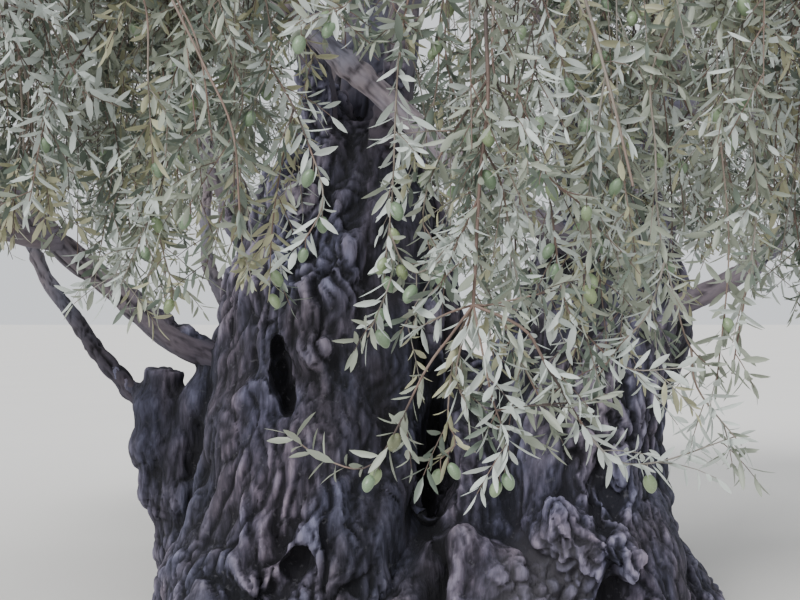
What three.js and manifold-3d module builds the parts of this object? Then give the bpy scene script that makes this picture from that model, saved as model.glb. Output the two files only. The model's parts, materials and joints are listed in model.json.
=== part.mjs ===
// An old olive tree: a broad forked trunk of fused, twisting ribs on a flared foot, tapering boughs, and
// masses of drooping twigs and leaves that hang round the open space under the crown.
// Millimetres, +Z up, origin on the ground under the trunk. The front, -Y, is the side of the low curtains.
import * as THREE from "three";
import { mergeVertices } from "three/addons/utils/BufferGeometryUtils.js";
import Module from "manifold-3d";

const wasm = await Module();
wasm.setup();

const UP = new THREE.Vector3(0, 0, 1);
// The seeds of everything that varies by chance.
const SEEDS = { spread: 7919, tiers: 101, masses: 200, tierStep: 20, curtains: 300 };
const GOLDEN_ANGLE = Math.PI * (3 - Math.sqrt(5));

// Clearance between a limb and what it grows from or carries.
const JOINT_GAP = 0.3;
// Details finer than this are merged away after a join.
const MERGE_LENGTH = { wood: 3, leaves: 0.05 };

// The trunk's fused stems. Each list runs from the ground to the top in equal steps of height.
const STEMS = [
  {
    height: 2750,
    ribs: 9,
    twist: 0.75,
    seed: 11,
    centreX: [-640, -560, -490, -460, -430, -400],
    halfWidth: [790, 680, 640, 560, 450, 260],
    halfDepth: [1000, 840, 700, 580, 460, 280],
  },
  {
    height: 2400,
    ribs: 7,
    twist: -0.6,
    seed: 23,
    centreX: [720, 660, 700, 900, 960, 940],
    halfWidth: [720, 600, 490, 430, 350, 190],
    halfDepth: [900, 740, 600, 480, 380, 200],
  },
  {
    height: 1400,
    ribs: 5,
    twist: 0.4,
    seed: 37,
    centreX: [40, 50, 60, 90, 150],
    halfWidth: [560, 480, 430, 370, 200],
    halfDepth: [980, 780, 640, 500, 260],
  },
];
const RIB = {
  sides: 7,
  steps: 8,
  girth: [0.86, 1.18],
  top: [0.84, 1],
  jitter: 0.3,
  overlap: 1.25,
  sink: 0.85,
  wander: { turn: 0.16, height: 260 },
  closing: 0.85,
  belowGround: 60,
};
const CORE = { sides: 12, share: 0.78, rings: [0.25, 0.5, 0.75, 0.92] };
const FLARE = { height: 420, reach: 170, swell: 0.15 };

// The dead snag and the rope-like rib on the left side, each a route with a radius at every point.
const SNAG = {
  route: [[-1230, -80, -60], [-1370, -80, 480], [-1440, -80, 900], [-1410, -80, 1250]],
  radii: [240, 170, 185, 120],
};
const ROPE = {
  route: [[-1250, -160, 300], [-1300, -170, 780], [-1190, -160, 1120], [-930, -110, 1480]],
  radii: [130, 100, 98, 110],
};
const ROUTE = { sides: 9, steps: 8 };
// Burrs crowd the foot of the right stem, on its front.
const BURRS = {
  count: 7,
  across: [80, 880],
  up: [90, 540],
  radius: [250, 150],
  scatter: { across: [0.17, 0.618], up: [0.4, 0.382] },
  depth: 0.85,
  height: [1.1, 0.8],
  sink: 0.35,
};
// Hollows rotted into the front: centre and half sizes.
const HOLLOWS = [
  { centre: [0, -560, 1080], half: [110, 250, 560] },
  { centre: [-720, -680, 1230], half: [75, 200, 170] },
];

// What is cut away below the ground.
const SOIL = { width: 8000, depth: 600 };

// Foliage tiers: rings of masses round the trunk. Bearings are in degrees from +X towards +Y.
const TIERS = [
  {
    name: "skirt",
    count: 9,
    firstBearing: 306,
    step: 36,
    radius: 3600,
    height: 3000,
    half: { round: 1120, out: 950, up: 1000 },
    rootIn: 0.55,
    rootUp: -0.1,
    arrival: { out: 0.7, up: 0.7 },
  },
  {
    name: "shoulder",
    count: 7,
    firstBearing: 270,
    step: 360 / 7,
    radius: 2500,
    height: 4450,
    half: { round: 1120, out: 1080, up: 980 },
    rootIn: 0.45,
    rootUp: -0.5,
    arrival: { out: 0.55, up: 0.7 },
  },
  {
    name: "top",
    count: 4,
    firstBearing: 300,
    step: 90,
    radius: 1000,
    height: 5520,
    half: { round: 1050, out: 1050, up: 880 },
    rootIn: 0.1,
    rootUp: -0.62,
    arrival: { out: 0.2, up: 1 },
  },
];
const TIER_SWAY = { radius: 170, height: 190, size: 0.08 };
// Curtains: low masses at the front that weep nearly to shoulder height.
const CURTAINS = [
  { side: "left", centre: [-850, -4000, 2480], half: [520, 600, 970] },
  { side: "middle", centre: [-20, -4250, 2300], half: [500, 520, 1120] },
  { side: "right", centre: [640, -4000, 2430], half: [520, 600, 980] },
];
const CURTAIN = { rootIn: 0.35, rootUp: 0.78, arrival: [0, -0.8, -0.45], highestTwig: 0.5 };

const SPRAY = {
  tier: { twigs: 5, pairs: 2, steps: 2, length: 620, width: 150, thickness: 18, twigRadius: 13 },
  curtain: { twigs: 6, pairs: 2, steps: 3, length: 320, width: 70, thickness: 9, twigRadius: 8 },
};
const TWIG = { sides: 3, tipShare: 0.4, reach: 0.84, from: [0.2, 0.92], pull: 1.4, lift: 0.25, droop: 0.55 };
const TWIG_TESTED = [0.4, 0.6, 0.8, 1];
const STEM = { sides: 6, steps: 3, tipRadius: 9, past: 0.32, droop: 200 };
// A leaf's corners are its root, its tip, its two edges and its keel.
const LEAF = {
  corners: [-1, 0, 0, 1, 0, 0, 0, 1, 0, 0, -1, 0, 0, 0, -1],
  faces: [0, 3, 2, 1, 2, 3, 0, 2, 4, 0, 4, 3, 1, 4, 2, 1, 3, 4],
  lean: 0.82,
  turn: 0.25,
  turnSway: 0.6,
  along: [0.34, 0.9],
  tip: { at: 0.985, lean: 0.12 },
  sink: 0.6,
  scales: [1, 0.8, 0.62],
  range: [0.85, 1.1],
  tested: [0.35, 0.6, 0.85, 1],
};
// Least room between foliage and a limb of another mass.
const CLEARANCE = 12;
const FRUIT = { perCurtain: 4, length: 30, width: 21, at: 0.72, hang: 0.55 };
const CELL = { rim: 1.03, margin: 0.045 };
const LIMB = { sides: 6, steps: 8, slenderness: 0.85 };
const LIMB_SAMPLES = 24;
const CURVE_PULL = 0.38;

// The boughs. Each row gives a limb's name and the mass it carries, then the point on the trunk, or the limb
// and the share of its length, that it starts from, then its heading there, its radii at the root and the
// tip, and how many of its steps stay fused to what it grows from.
const LIMBS = [
  onTrunk("left_limb", "skirt_foliage_8", [-830, -130, 1150], [-0.9, 0.02, 0.42], [84, 40], 2),
  onLimb("left_limb_fork", "skirt_foliage_9", "left_limb", 0.46, [-0.85, -0.5, 0.05], [50, 30], 1),
  onTrunk("left_low_limb", "skirt_foliage_7", [-1430, -60, 1000], [-0.72, 0.1, 0.62], [46, 28], 1),
  onTrunk("left_thin_limb", "skirt_foliage_6", [-830, 220, 1300], [-0.7, 0.55, 0.4], [50, 28], 2),
  onTrunk("left_upper_bough", "shoulder_foliage_6", [-800, 60, 1500], [-0.42, 0.05, 0.9], [88, 38], 2),
  onTrunk("left_crown_bough", "top_foliage_3", [-430, 90, 2250], [0.05, 0.15, 1], [150, 48], 2),
  onTrunk("left_fore_bough", "curtain_foliage_left", [-500, -90, 2150], [-0.16, -0.22, 0.96], [96, 26], 2),
  onTrunk("left_inner_bough", "top_foliage_4", [-330, -40, 2300], [0.25, -0.15, 0.95], [110, 42], 2),
  onTrunk("front_bough", "shoulder_foliage_1", [-260, -200, 2180], [0.15, -0.55, 0.85], [100, 38], 2),
  onLimb("front_fork", "curtain_foliage_middle", "front_bough", 0.42, [-0.05, -0.95, 0.2], [50, 24], 1),
  onTrunk("crossing_bough", "shoulder_foliage_7", [820, -310, 1850], [-0.8, -0.5, 0.38], [74, 36], 2),
  onTrunk("right_limb", "skirt_foliage_2", [780, -240, 1330], [0.82, -0.35, 0.42], [62, 34], 2),
  onLimb("right_limb_fork", "skirt_foliage_1", "right_limb", 0.45, [0.4, -0.85, 0.3], [44, 30], 1),
  onTrunk("right_fore_bough", "shoulder_foliage_2", [940, -110, 1950], [0.1, -0.45, 0.9], [96, 38], 2),
  onLimb("right_fore_fork", "curtain_foliage_right", "right_fore_bough", 0.4, [-0.1, -0.95, 0.3], [50, 24], 1),
  onTrunk("right_outer_bough", "shoulder_foliage_3", [1010, 40, 1900], [0.32, 0.05, 0.95], [104, 40], 2),
  onLimb("right_outer_fork", "skirt_foliage_3", "right_outer_bough", 0.4, [0.9, 0.25, 0.05], [62, 34], 1),
  onTrunk("right_inner_bough", "top_foliage_1", [880, 30, 1950], [-0.22, -0.1, 0.97], [110, 44], 2),
  onLimb("right_inner_fork", "top_foliage_2", "right_inner_bough", 0.42, [0.1, 0.6, 0.8], [66, 38], 1),
  onTrunk("back_right_bough", "skirt_foliage_4", [960, 180, 1600], [0.35, 0.8, 0.42], [96, 38], 2),
  onLimb("back_right_fork", "shoulder_foliage_4", "back_right_bough", 0.38, [0.05, 0.35, 0.95], [66, 36], 1),
  onTrunk("back_left_bough", "skirt_foliage_5", [-380, 280, 1700], [0.15, 0.85, 0.4], [100, 38], 2),
  onLimb("back_left_fork", "shoulder_foliage_5", "back_left_bough", 0.38, [-0.4, 0.35, 0.9], [66, 36], 1),
];

function onTrunk(name, mass, from, heading, radii, collar) {
  return { name, mass, from, heading, radii, collar };
}

function onLimb(name, mass, on, at, heading, radii, collar) {
  return { name, mass, on, at, heading, radii, collar };
}

const BARK = { color: 0x57505a, roughness: 0.95, metalness: 0 };
const LIMB_BARK = { color: 0x857d80, roughness: 0.9, metalness: 0 };
const FOLIAGE = { color: 0x8f9382, roughness: 0.6, metalness: 0 };

const vector = (list) => new THREE.Vector3(...list);
const mix = THREE.MathUtils.lerp;

// Repeatable random numbers from 0 to 1.
function seeded(seed) {
  let state = seed * SEEDS.spread;
  const next = () => {
    state = (Math.imul(state, 1664525) + 1013904223) >>> 0;
    return state / 4294967296;
  };
  next();
  return next;
}

// A closed three.js geometry as a solid that can be joined and cut.
function solidOf(geometry) {
  const shape = geometry.clone();
  shape.deleteAttribute("normal");
  shape.deleteAttribute("uv");
  const merged = mergeVertices(shape);
  return new wasm.Manifold(
    new wasm.Mesh({
      numProp: 3,
      vertProperties: new Float32Array(merged.attributes.position.array),
      triVerts: new Uint32Array(merged.index.array),
    }),
  );
}

// Joins solids, then keeps the largest body without loose scraps or sealed cavities.
function fuse(solids, mergeLength) {
  const bodies = wasm.Manifold.union(solids).simplify(mergeLength).decompose();
  return bodies.reduce((best, body) => (body.volume() > best.volume() ? body : best));
}

function geometryOf(solid) {
  const { vertProperties, triVerts } = solid.getMesh();
  return new THREE.BufferGeometry()
    .setAttribute("position", new THREE.BufferAttribute(new Float32Array(vertProperties), 3))
    .setIndex(new THREE.BufferAttribute(new Uint32Array(triVerts), 1));
}

// A closed cylinder whose every ring vertex is put in place by a function of its step and ring position.
function tube(sides, steps, place) {
  const shape = new THREE.CylinderGeometry(1, 1, 1, sides, steps);
  const position = shape.getAttribute("position");
  for (let i = 0; i < position.count; i++) {
    const step = Math.round((position.getY(i) + 0.5) * steps);
    const point = place(step, position.getX(i), position.getZ(i));
    position.setXYZ(i, point.x, point.y, point.z);
  }
  return solidOf(shape);
}

// A cubic curve that leaves `from` along `heading` and reaches `to` along `arrival`.
function bend(from, heading, to, arrival) {
  const pull = from.distanceTo(to) * CURVE_PULL;
  return new THREE.CubicBezierCurve3(
    from.clone(),
    from.clone().addScaledVector(heading, pull),
    to.clone().addScaledVector(arrival, -pull),
    to.clone(),
  );
}

// A tapering tube along a curve, between two of the curve's equal steps.
function tapered(curve, { sides, steps, radiusAt, first = 0, last = steps, offset = 0 }) {
  const frames = curve.computeFrenetFrames(steps, false);
  return tube(sides, last - first, (ring, across, along) => {
    const step = first + ring;
    const radius = radiusAt(step / steps);
    const side = new THREE.Vector3().crossVectors(frames.normals[step], frames.tangents[step]);
    return curve
      .getPointAt(step / steps)
      .addScaledVector(frames.normals[step], across * radius)
      .addScaledVector(side, along * radius)
      .addScaledVector(frames.tangents[step], ring === 0 ? offset : 0);
  });
}

// An upright tube of flat elliptical rings: `at` gives a ring's centre and half sizes from its height.
function upright(heights, sides, at) {
  return tube(sides, heights.length - 1, (step, x, z) => {
    const ring = at(heights[step]);
    return new THREE.Vector3(ring.x + x * ring.rx, ring.y - z * ring.ry, heights[step]);
  });
}

function ellipsoid(centre, half) {
  return solidOf(new THREE.IcosahedronGeometry(1, 1).scale(...half).translate(...centre));
}

// The size of a trunk stem at a height, smooth between its listed rings.
function stemSection(stem, height) {
  stem.spline ??= new THREE.CatmullRomCurve3(
    stem.centreX.map((x, i) => new THREE.Vector3(x, stem.halfWidth[i], stem.halfDepth[i])),
    false,
    "catmullrom",
  );
  const share = THREE.MathUtils.clamp(height / stem.height, 0, 1);
  const { x, y: rx, z: ry } = stem.spline.getPoint(share);
  return { x, y: 0, rx, ry };
}

// One rib of a stem: it winds round the stem, spreads at the foot and closes at its top.
function ribSolid(stem, rib, random) {
  const bearing = ((rib + RIB.jitter * (random() - 0.5)) / stem.ribs) * 2 * Math.PI;
  const girth = RIB.overlap * Math.sin(Math.PI / stem.ribs) * mix(...RIB.girth, random());
  const phase = random() * 2 * Math.PI;
  const spread = FLARE.reach * random();
  const top = stem.height * mix(...RIB.top, random());
  const heights = Array.from({ length: RIB.steps + 1 }, (_, i) => mix(-RIB.belowGround, top, i / RIB.steps));
  return upright(heights, RIB.sides, (height) => {
    const section = stemSection(stem, height);
    const flare = Math.max(0, 1 - Math.max(height, 0) / FLARE.height) ** 2;
    const closing = Math.sqrt(1 - RIB.closing * Math.max(0, height / top) ** 6);
    const radius = ((section.rx + section.ry) / 2) * girth;
    const wander = RIB.wander.turn * Math.sin(phase + height / RIB.wander.height);
    const turn = bearing + (stem.twist * height) / stem.height + wander;
    const inset = RIB.sink * radius - spread * flare;
    const ring = radius * (1 + FLARE.swell * flare) * closing;
    return {
      x: section.x + (section.rx - inset) * Math.cos(turn),
      y: section.y + (section.ry - inset) * Math.sin(turn),
      rx: ring,
      ry: ring,
    };
  });
}

// The heartwood inside a stem's ribs.
function coreSolid(stem) {
  const heights = [-RIB.belowGround, ...CORE.rings.map((share) => share * stem.height)];
  return upright(heights, CORE.sides, (height) => {
    const section = stemSection(stem, height);
    return { ...section, rx: section.rx * CORE.share, ry: section.ry * CORE.share };
  });
}

// A stem's ribs overlap their neighbours all round its core.
function stemSolids(stem) {
  const random = seeded(stem.seed);
  const ribs = Array.from({ length: stem.ribs }, (_, rib) => ribSolid(stem, rib, random));
  return [...ribs, coreSolid(stem)];
}

function routeSolid({ route, radii }) {
  const curve = new THREE.CatmullRomCurve3(route.map(vector));
  const radius = new THREE.CatmullRomCurve3(radii.map((r, i) => new THREE.Vector3(r, i, 0)));
  return tapered(curve, { ...ROUTE, radiusAt: (share) => radius.getPoint(share).x });
}

// Burrs lie on the front of the foot, scattered by a fixed rule.
function burrSolids() {
  const stem = STEMS[1];
  return Array.from({ length: BURRS.count }, (_, i) => {
    const across = (BURRS.scatter.across[0] + i * BURRS.scatter.across[1]) % 1;
    const raised = (BURRS.scatter.up[0] + i * BURRS.scatter.up[1]) % 1;
    const x = mix(...BURRS.across, across);
    const z = mix(...BURRS.up, raised);
    const radius = mix(...BURRS.radius, raised);
    const section = stemSection(stem, z);
    const round = Math.sqrt(Math.max(0, 1 - ((x - section.x) / section.rx) ** 2));
    const y = BURRS.sink * radius - section.ry * round;
    return ellipsoid([x, y, z], [radius, radius * BURRS.depth, radius * mix(...BURRS.height, across)]);
  });
}

// Every foliage mass: its own ellipsoidal space and the point where its bough enters it.
function listMasses() {
  const masses = [];
  for (const [row, tier] of TIERS.entries()) {
    const random = seeded(SEEDS.tiers + row);
    for (let i = 0; i < tier.count; i++) {
      const bearing = THREE.MathUtils.degToRad(tier.firstBearing + tier.step * i);
      const out = new THREE.Vector3(Math.cos(bearing), Math.sin(bearing), 0);
      const radius = tier.radius + TIER_SWAY.radius * (2 * random() - 1);
      const height = tier.height + TIER_SWAY.height * (2 * random() - 1);
      const size = 1 + TIER_SWAY.size * (2 * random() - 1);
      const half = [tier.half.out * size, tier.half.round * size, tier.half.up * size];
      const centre = out.clone().multiplyScalar(radius).setZ(height);
      masses.push({
        name: `${tier.name}_foliage_${i + 1}`,
        seed: SEEDS.masses + SEEDS.tierStep * row + i,
        fruit: 0,
        spray: SPRAY.tier,
        highest: 1,
        centre,
        out,
        half,
        root: centre
          .clone()
          .addScaledVector(out, -tier.rootIn * half[0])
          .addScaledVector(UP, tier.rootUp * half[2]),
        arrival: out.clone().multiplyScalar(tier.arrival.out).setZ(tier.arrival.up).normalize(),
      });
    }
  }
  for (const [i, curtain] of CURTAINS.entries()) {
    const centre = vector(curtain.centre);
    const out = new THREE.Vector3(0, -1, 0);
    const half = [curtain.half[1], curtain.half[0], curtain.half[2]];
    masses.push({
      name: `curtain_foliage_${curtain.side}`,
      seed: SEEDS.curtains + i,
      spray: SPRAY.curtain,
      highest: CURTAIN.highestTwig,
      centre,
      out,
      half,
      root: centre
        .clone()
        .addScaledVector(out, -CURTAIN.rootIn * half[0])
        .addScaledVector(UP, CURTAIN.rootUp * half[2]),
      arrival: vector(CURTAIN.arrival).normalize(),
      fruit: FRUIT.perCurtain,
    });
  }
  return masses;
}

// A point's distance from a mass's centre, where 1 is its rim. A mass's half sizes run out, round and up.
function cellDistance(mass, point) {
  const offset = point.clone().sub(mass.centre);
  const out = offset.dot(mass.out) / mass.half[0];
  const round = offset.dot(new THREE.Vector3(-mass.out.y, mass.out.x, 0)) / mass.half[1];
  return Math.hypot(out, round, offset.z / mass.half[2]);
}

const masses = listMasses();

// Whether a point lies in the mass's own space and not in a neighbour's.
function ownsPoint(mass, point) {
  const distance = cellDistance(mass, point);
  if (distance > CELL.rim) return false;
  return masses.every((other) => other === mass || cellDistance(other, point) > distance + CELL.margin);
}

// Each limb's curve, from inside what it grows on to the root of its mass.
function routeLimbs() {
  const limbs = new Map();
  for (const row of LIMBS) {
    const mass = masses.find((candidate) => candidate.name === row.mass);
    const parent = limbs.get(row.on);
    const from = parent ? parent.curve.getPointAt(row.at) : vector(row.from);
    const curve = bend(from, vector(row.heading).normalize(), mass.root, mass.arrival);
    const radiusAt = (share) => mix(...row.radii, share ** LIMB.slenderness);
    limbs.set(row.name, { ...row, mass, curve, radiusAt });
  }
  return limbs;
}

const limbs = routeLimbs();

// Points along every limb with the limb's radius there, for keeping leaves clear of them.
const limbPoints = [...limbs.values()].flatMap((limb) =>
  Array.from({ length: LIMB_SAMPLES + 1 }, (_, i) => ({
    at: limb.curve.getPointAt(i / LIMB_SAMPLES),
    radius: limb.radiusAt(i / LIMB_SAMPLES),
  })),
);

function clearOfLimbs(point, reach) {
  return limbPoints.every(({ at, radius }) => at.distanceTo(point) > radius + reach);
}

function limbSolid(limb, first, last, offset) {
  return tapered(limb.curve, { ...LIMB, radiusAt: limb.radiusAt, first, last, offset });
}

// The part of a limb that stays with what it grows from.
const collarOf = (limb) => limbSolid(limb, 0, limb.collar, 0);

function trunkSolid() {
  const grown = STEMS.flatMap(stemSolids);
  grown.push(routeSolid(SNAG), routeSolid(ROPE), ...burrSolids());
  const hollowed = HOLLOWS.reduce(
    (wood, hollow) => wood.subtract(ellipsoid(hollow.centre, hollow.half)),
    wasm.Manifold.union(grown),
  );
  const collars = [...limbs.values()].filter((limb) => !limb.on).map(collarOf);
  const { width, depth } = SOIL;
  const soil = solidOf(new THREE.BoxGeometry(width, width, depth).translate(0, 0, -depth / 2));
  return fuse([hollowed, ...collars], MERGE_LENGTH.wood).subtract(soil);
}

function boughSolid(limb) {
  const collars = [...limbs.values()].filter((other) => other.on === limb.name).map(collarOf);
  return fuse([limbSolid(limb, limb.collar, LIMB.steps, JOINT_GAP), ...collars], MERGE_LENGTH.leaves);
}

// A leaf spray: flat above, keeled below, with its root inside its twig.
function leafSolid(root, direction, across, spray, length) {
  const width = (spray.width * length) / spray.length;
  const shape = new THREE.PolyhedronGeometry(LEAF.corners, LEAF.faces, 1, 0);
  shape.scale(length / 2, width / 2, spray.thickness);
  const normal = new THREE.Vector3().crossVectors(direction, across).normalize();
  const side = new THREE.Vector3().crossVectors(normal, direction);
  const centre = root.clone().addScaledVector(direction, length / 2);
  return solidOf(shape.applyMatrix4(new THREE.Matrix4().makeBasis(direction, side, normal).setPosition(centre)));
}

function leafFits(mass, root, direction, across, length, width) {
  const middle = root.clone().addScaledVector(direction, length / 2);
  const edges = [-1, 1].map((sign) => middle.clone().addScaledVector(across, (sign * width) / 2));
  const axis = LEAF.tested.map((share) => root.clone().addScaledVector(direction, share * length));
  const clear = axis.every((point) => clearOfLimbs(point, width / 2 + CLEARANCE));
  return clear && [...axis, ...edges].every((point) => ownsPoint(mass, point));
}

// A leaf on a twig, shortened or left out where it would leave the mass's space or touch a limb.
function growLeaf(mass, curve, share, side, lean, random) {
  const { spray } = mass;
  const tangent = curve.getTangentAt(share);
  const direction = tangent.clone().multiplyScalar(Math.cos(lean)).addScaledVector(side, Math.sin(lean));
  const across = new THREE.Vector3().crossVectors(tangent, direction).normalize();
  const root = curve.getPointAt(share).addScaledVector(direction, -LEAF.sink * spray.twigRadius);
  for (const scale of LEAF.scales) {
    const length = spray.length * scale * mix(...LEAF.range, random());
    if (leafFits(mass, root, direction, across, length, spray.width * scale)) {
      return [leafSolid(root, direction, across, spray, length)];
    }
  }
  return [];
}

// Opposite pairs of leaves that turn a quarter from pair to pair, and one at the twig's tip.
function leavesOn(mass, curve, random) {
  const { pairs } = mass.spray;
  const made = [];
  for (let pair = 0; pair < pairs; pair++) {
    const share = mix(...LEAF.along, pair / (pairs - 1));
    const tangent = curve.getTangentAt(share);
    const level = new THREE.Vector3().crossVectors(tangent, UP).normalize();
    const lifted = new THREE.Vector3().crossVectors(level, tangent);
    const turn = LEAF.turn + pair * (Math.PI / 2) + LEAF.turnSway * (random() - 0.5);
    const side = level.multiplyScalar(Math.cos(turn)).addScaledVector(lifted, Math.sin(turn));
    made.push(...growLeaf(mass, curve, share, side, LEAF.lean, random));
    made.push(...growLeaf(mass, curve, share, side.clone().negate(), LEAF.lean, random));
  }
  made.push(...growLeaf(mass, curve, LEAF.tip.at, UP.clone().negate(), LEAF.tip.lean, random));
  return made;
}

// An olive that hangs under a twig.
function fruitSolid(curve) {
  const spot = curve.getPointAt(FRUIT.at);
  const shape = new THREE.IcosahedronGeometry(1, 0);
  shape.scale(FRUIT.width / 2, FRUIT.width / 2, FRUIT.length / 2);
  return solidOf(shape.translate(spot.x, spot.y, spot.z - FRUIT.hang * FRUIT.length));
}

// The twigs of a mass leave its stem in turn and reach for points spread evenly over its rim.
function twigCurves(mass, stem, random) {
  const { twigs } = mass.spray;
  const spin = random() * 2 * Math.PI;
  const round = new THREE.Vector3(-mass.out.y, mass.out.x, 0);
  const curves = [];
  for (let i = 0; i < twigs; i++) {
    const rise = mix(mass.highest, -1, (i + 0.5) / twigs);
    const level = Math.sqrt(Math.max(0, 1 - rise * rise));
    const turn = spin + i * GOLDEN_ANGLE;
    const toRim = mass.out
      .clone()
      .multiplyScalar(level * Math.cos(turn) * mass.half[0])
      .addScaledVector(round, level * Math.sin(turn) * mass.half[1])
      .addScaledVector(UP, rise * mass.half[2]);
    const target = mass.centre.clone().addScaledVector(toRim, TWIG.reach);
    const from = mix(...TWIG.from, ((i * 2 + 1) % twigs) / twigs);
    const start = stem.getPointAt(from);
    const heading = stem
      .getTangentAt(from)
      .addScaledVector(target.clone().sub(start).normalize(), TWIG.pull)
      .addScaledVector(UP, TWIG.lift);
    const arrival = toRim.normalize().addScaledVector(UP, -TWIG.droop);
    curves.push(bend(start, heading.normalize(), target, arrival.normalize()));
  }
  return curves;
}

function twigFits(mass, curve) {
  return TWIG_TESTED.every((share) => {
    const point = curve.getPointAt(share);
    return ownsPoint(mass, point) && clearOfLimbs(point, mass.spray.twigRadius + CLEARANCE);
  });
}

function foliageSolid(mass, limb) {
  const random = seeded(mass.seed);
  const heading = limb.curve.getTangentAt(1);
  const start = mass.root.clone().addScaledVector(heading, JOINT_GAP);
  const end = mass.centre.clone().addScaledVector(mass.centre.clone().sub(mass.root), STEM.past);
  const arrival = end.clone().sub(start).addScaledVector(UP, -STEM.droop).normalize();
  const stem = bend(start, heading, end, arrival);
  const solids = [tapered(stem, { ...STEM, radiusAt: (share) => mix(limb.radii[1], STEM.tipRadius, share) })];
  const { steps, twigRadius } = mass.spray;
  const radiusAt = (share) => twigRadius * mix(1, TWIG.tipShare, share);
  const twigs = twigCurves(mass, stem, random).filter((curve) => twigFits(mass, curve));
  for (const [i, curve] of twigs.entries()) {
    solids.push(tapered(curve, { sides: TWIG.sides, steps, radiusAt }));
    solids.push(...leavesOn(mass, curve, random));
    if (i < mass.fruit) solids.push(fruitSolid(curve));
  }
  return fuse(solids, MERGE_LENGTH.leaves);
}

function namedMesh(name, solid, look) {
  const mesh = new THREE.Mesh(geometryOf(solid), new THREE.MeshStandardMaterial(look));
  mesh.name = name;
  return mesh;
}

const tree = new THREE.Group();
tree.add(namedMesh("trunk", trunkSolid(), BARK));
for (const limb of limbs.values()) {
  tree.add(namedMesh(limb.name, boughSolid(limb), LIMB_BARK));
  tree.add(namedMesh(limb.mass.name, foliageSolid(limb.mass, limb), FOLIAGE));
}

export default tree;
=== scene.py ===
"""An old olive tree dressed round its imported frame: bark, boughs, twigs, leaves and fruit, in metres."""

import json
import logging
import math
from dataclasses import dataclass, replace
from enum import Enum
from typing import Callable, Iterator, Sequence

import bpy
import numpy as np
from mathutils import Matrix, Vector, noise

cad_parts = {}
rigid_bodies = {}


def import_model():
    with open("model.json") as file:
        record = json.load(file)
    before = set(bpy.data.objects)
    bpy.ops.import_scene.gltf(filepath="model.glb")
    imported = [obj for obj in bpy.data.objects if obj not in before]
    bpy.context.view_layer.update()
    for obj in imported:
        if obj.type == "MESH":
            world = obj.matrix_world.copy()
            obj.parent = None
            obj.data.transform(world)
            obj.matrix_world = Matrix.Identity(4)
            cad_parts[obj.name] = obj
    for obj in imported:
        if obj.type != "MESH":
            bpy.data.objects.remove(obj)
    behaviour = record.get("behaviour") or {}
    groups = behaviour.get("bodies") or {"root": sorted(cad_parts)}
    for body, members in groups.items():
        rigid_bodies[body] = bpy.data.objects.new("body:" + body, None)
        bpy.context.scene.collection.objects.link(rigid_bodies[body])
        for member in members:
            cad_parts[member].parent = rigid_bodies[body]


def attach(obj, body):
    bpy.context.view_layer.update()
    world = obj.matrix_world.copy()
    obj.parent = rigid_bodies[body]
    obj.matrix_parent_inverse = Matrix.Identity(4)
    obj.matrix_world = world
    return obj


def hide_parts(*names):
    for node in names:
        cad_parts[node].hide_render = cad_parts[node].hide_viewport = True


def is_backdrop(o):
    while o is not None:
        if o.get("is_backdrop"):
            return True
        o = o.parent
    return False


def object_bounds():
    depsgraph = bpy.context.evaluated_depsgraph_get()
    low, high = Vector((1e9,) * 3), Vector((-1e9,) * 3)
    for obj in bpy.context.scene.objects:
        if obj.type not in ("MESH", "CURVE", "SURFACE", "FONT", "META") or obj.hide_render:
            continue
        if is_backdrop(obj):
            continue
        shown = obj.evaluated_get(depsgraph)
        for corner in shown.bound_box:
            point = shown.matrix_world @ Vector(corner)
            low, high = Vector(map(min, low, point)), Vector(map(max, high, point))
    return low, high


LOG = logging.getLogger("olive_tree")

UP = np.array((0.0, 0.0, 1.0))
TO_THE_RIGHT = np.array((1.0, 0.0, 0.0))
GOLDEN_ANGLE = math.pi * (3 - math.sqrt(5))
# White leaves what it multiplies as it is, and black as a share is none
EVEN, NONE = (1.0, 1.0, 1.0), (0.0, 0.0, 0.0)
TRUNK_SLOT, LIMB_SLOT, FOLIAGE_SLOT = "trunk_bark", "limb_bark", "foliage"

Array = np.ndarray
Object = bpy.types.Object
Point = Sequence[float]
Span = tuple[float, float]
Colour = tuple[float, float, float]
Stops = Sequence[tuple[float, Colour]]


# Curves and repeatable numbers, by the source's rules


class SourceNumbers:
    """The source's own repeatable random numbers from 0 to 1."""

    SPREAD, FACTOR, ADDED, RANGE = 7919, 1664525, 1013904223, 1 << 32

    def __init__(self, seed: int) -> None:
        """Starts the run of a seed and passes over its first number."""
        self.state = seed * self.SPREAD
        self.next()

    def next(self) -> float:
        """The run's next number."""
        self.state = (self.state * self.FACTOR + self.ADDED) % self.RANGE
        return self.state / self.RANGE


def mix(low: float, high: float, share: float | Array) -> float | Array:
    """The value that lies a share of the way from low to high."""
    return low + (high - low) * share


def unit(vectors: Array) -> Array:
    """Vectors brought to length 1."""
    length = np.linalg.norm(vectors, axis=-1, keepdims=True)
    return vectors / np.maximum(length, 1e-12)


def smooth_through(points: Array, shares: Array) -> Array:
    """Places on the smooth curve through listed points, each share being of the curve's whole run.

    Args:
        points: The listed points, one in each row.
        shares: Shares from 0 to 1.

    Returns:
        One place for each share.
    """
    run = np.vstack([2 * points[0] - points[1], points, 2 * points[-1] - points[-2]])
    where = np.clip(shares, 0, 1) * (len(points) - 1)
    first = np.minimum(where.astype(int), len(points) - 2)
    t = (where - first)[:, None]
    before, start, end, after = (run[first + step] for step in range(4))
    leave, reach = (end - before) / 2, (after - start) / 2
    turn = 2 * (start - end) + leave + reach
    return start + leave * t + (3 * (end - start) - 2 * leave - reach) * t**2 + turn * t**3


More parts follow.
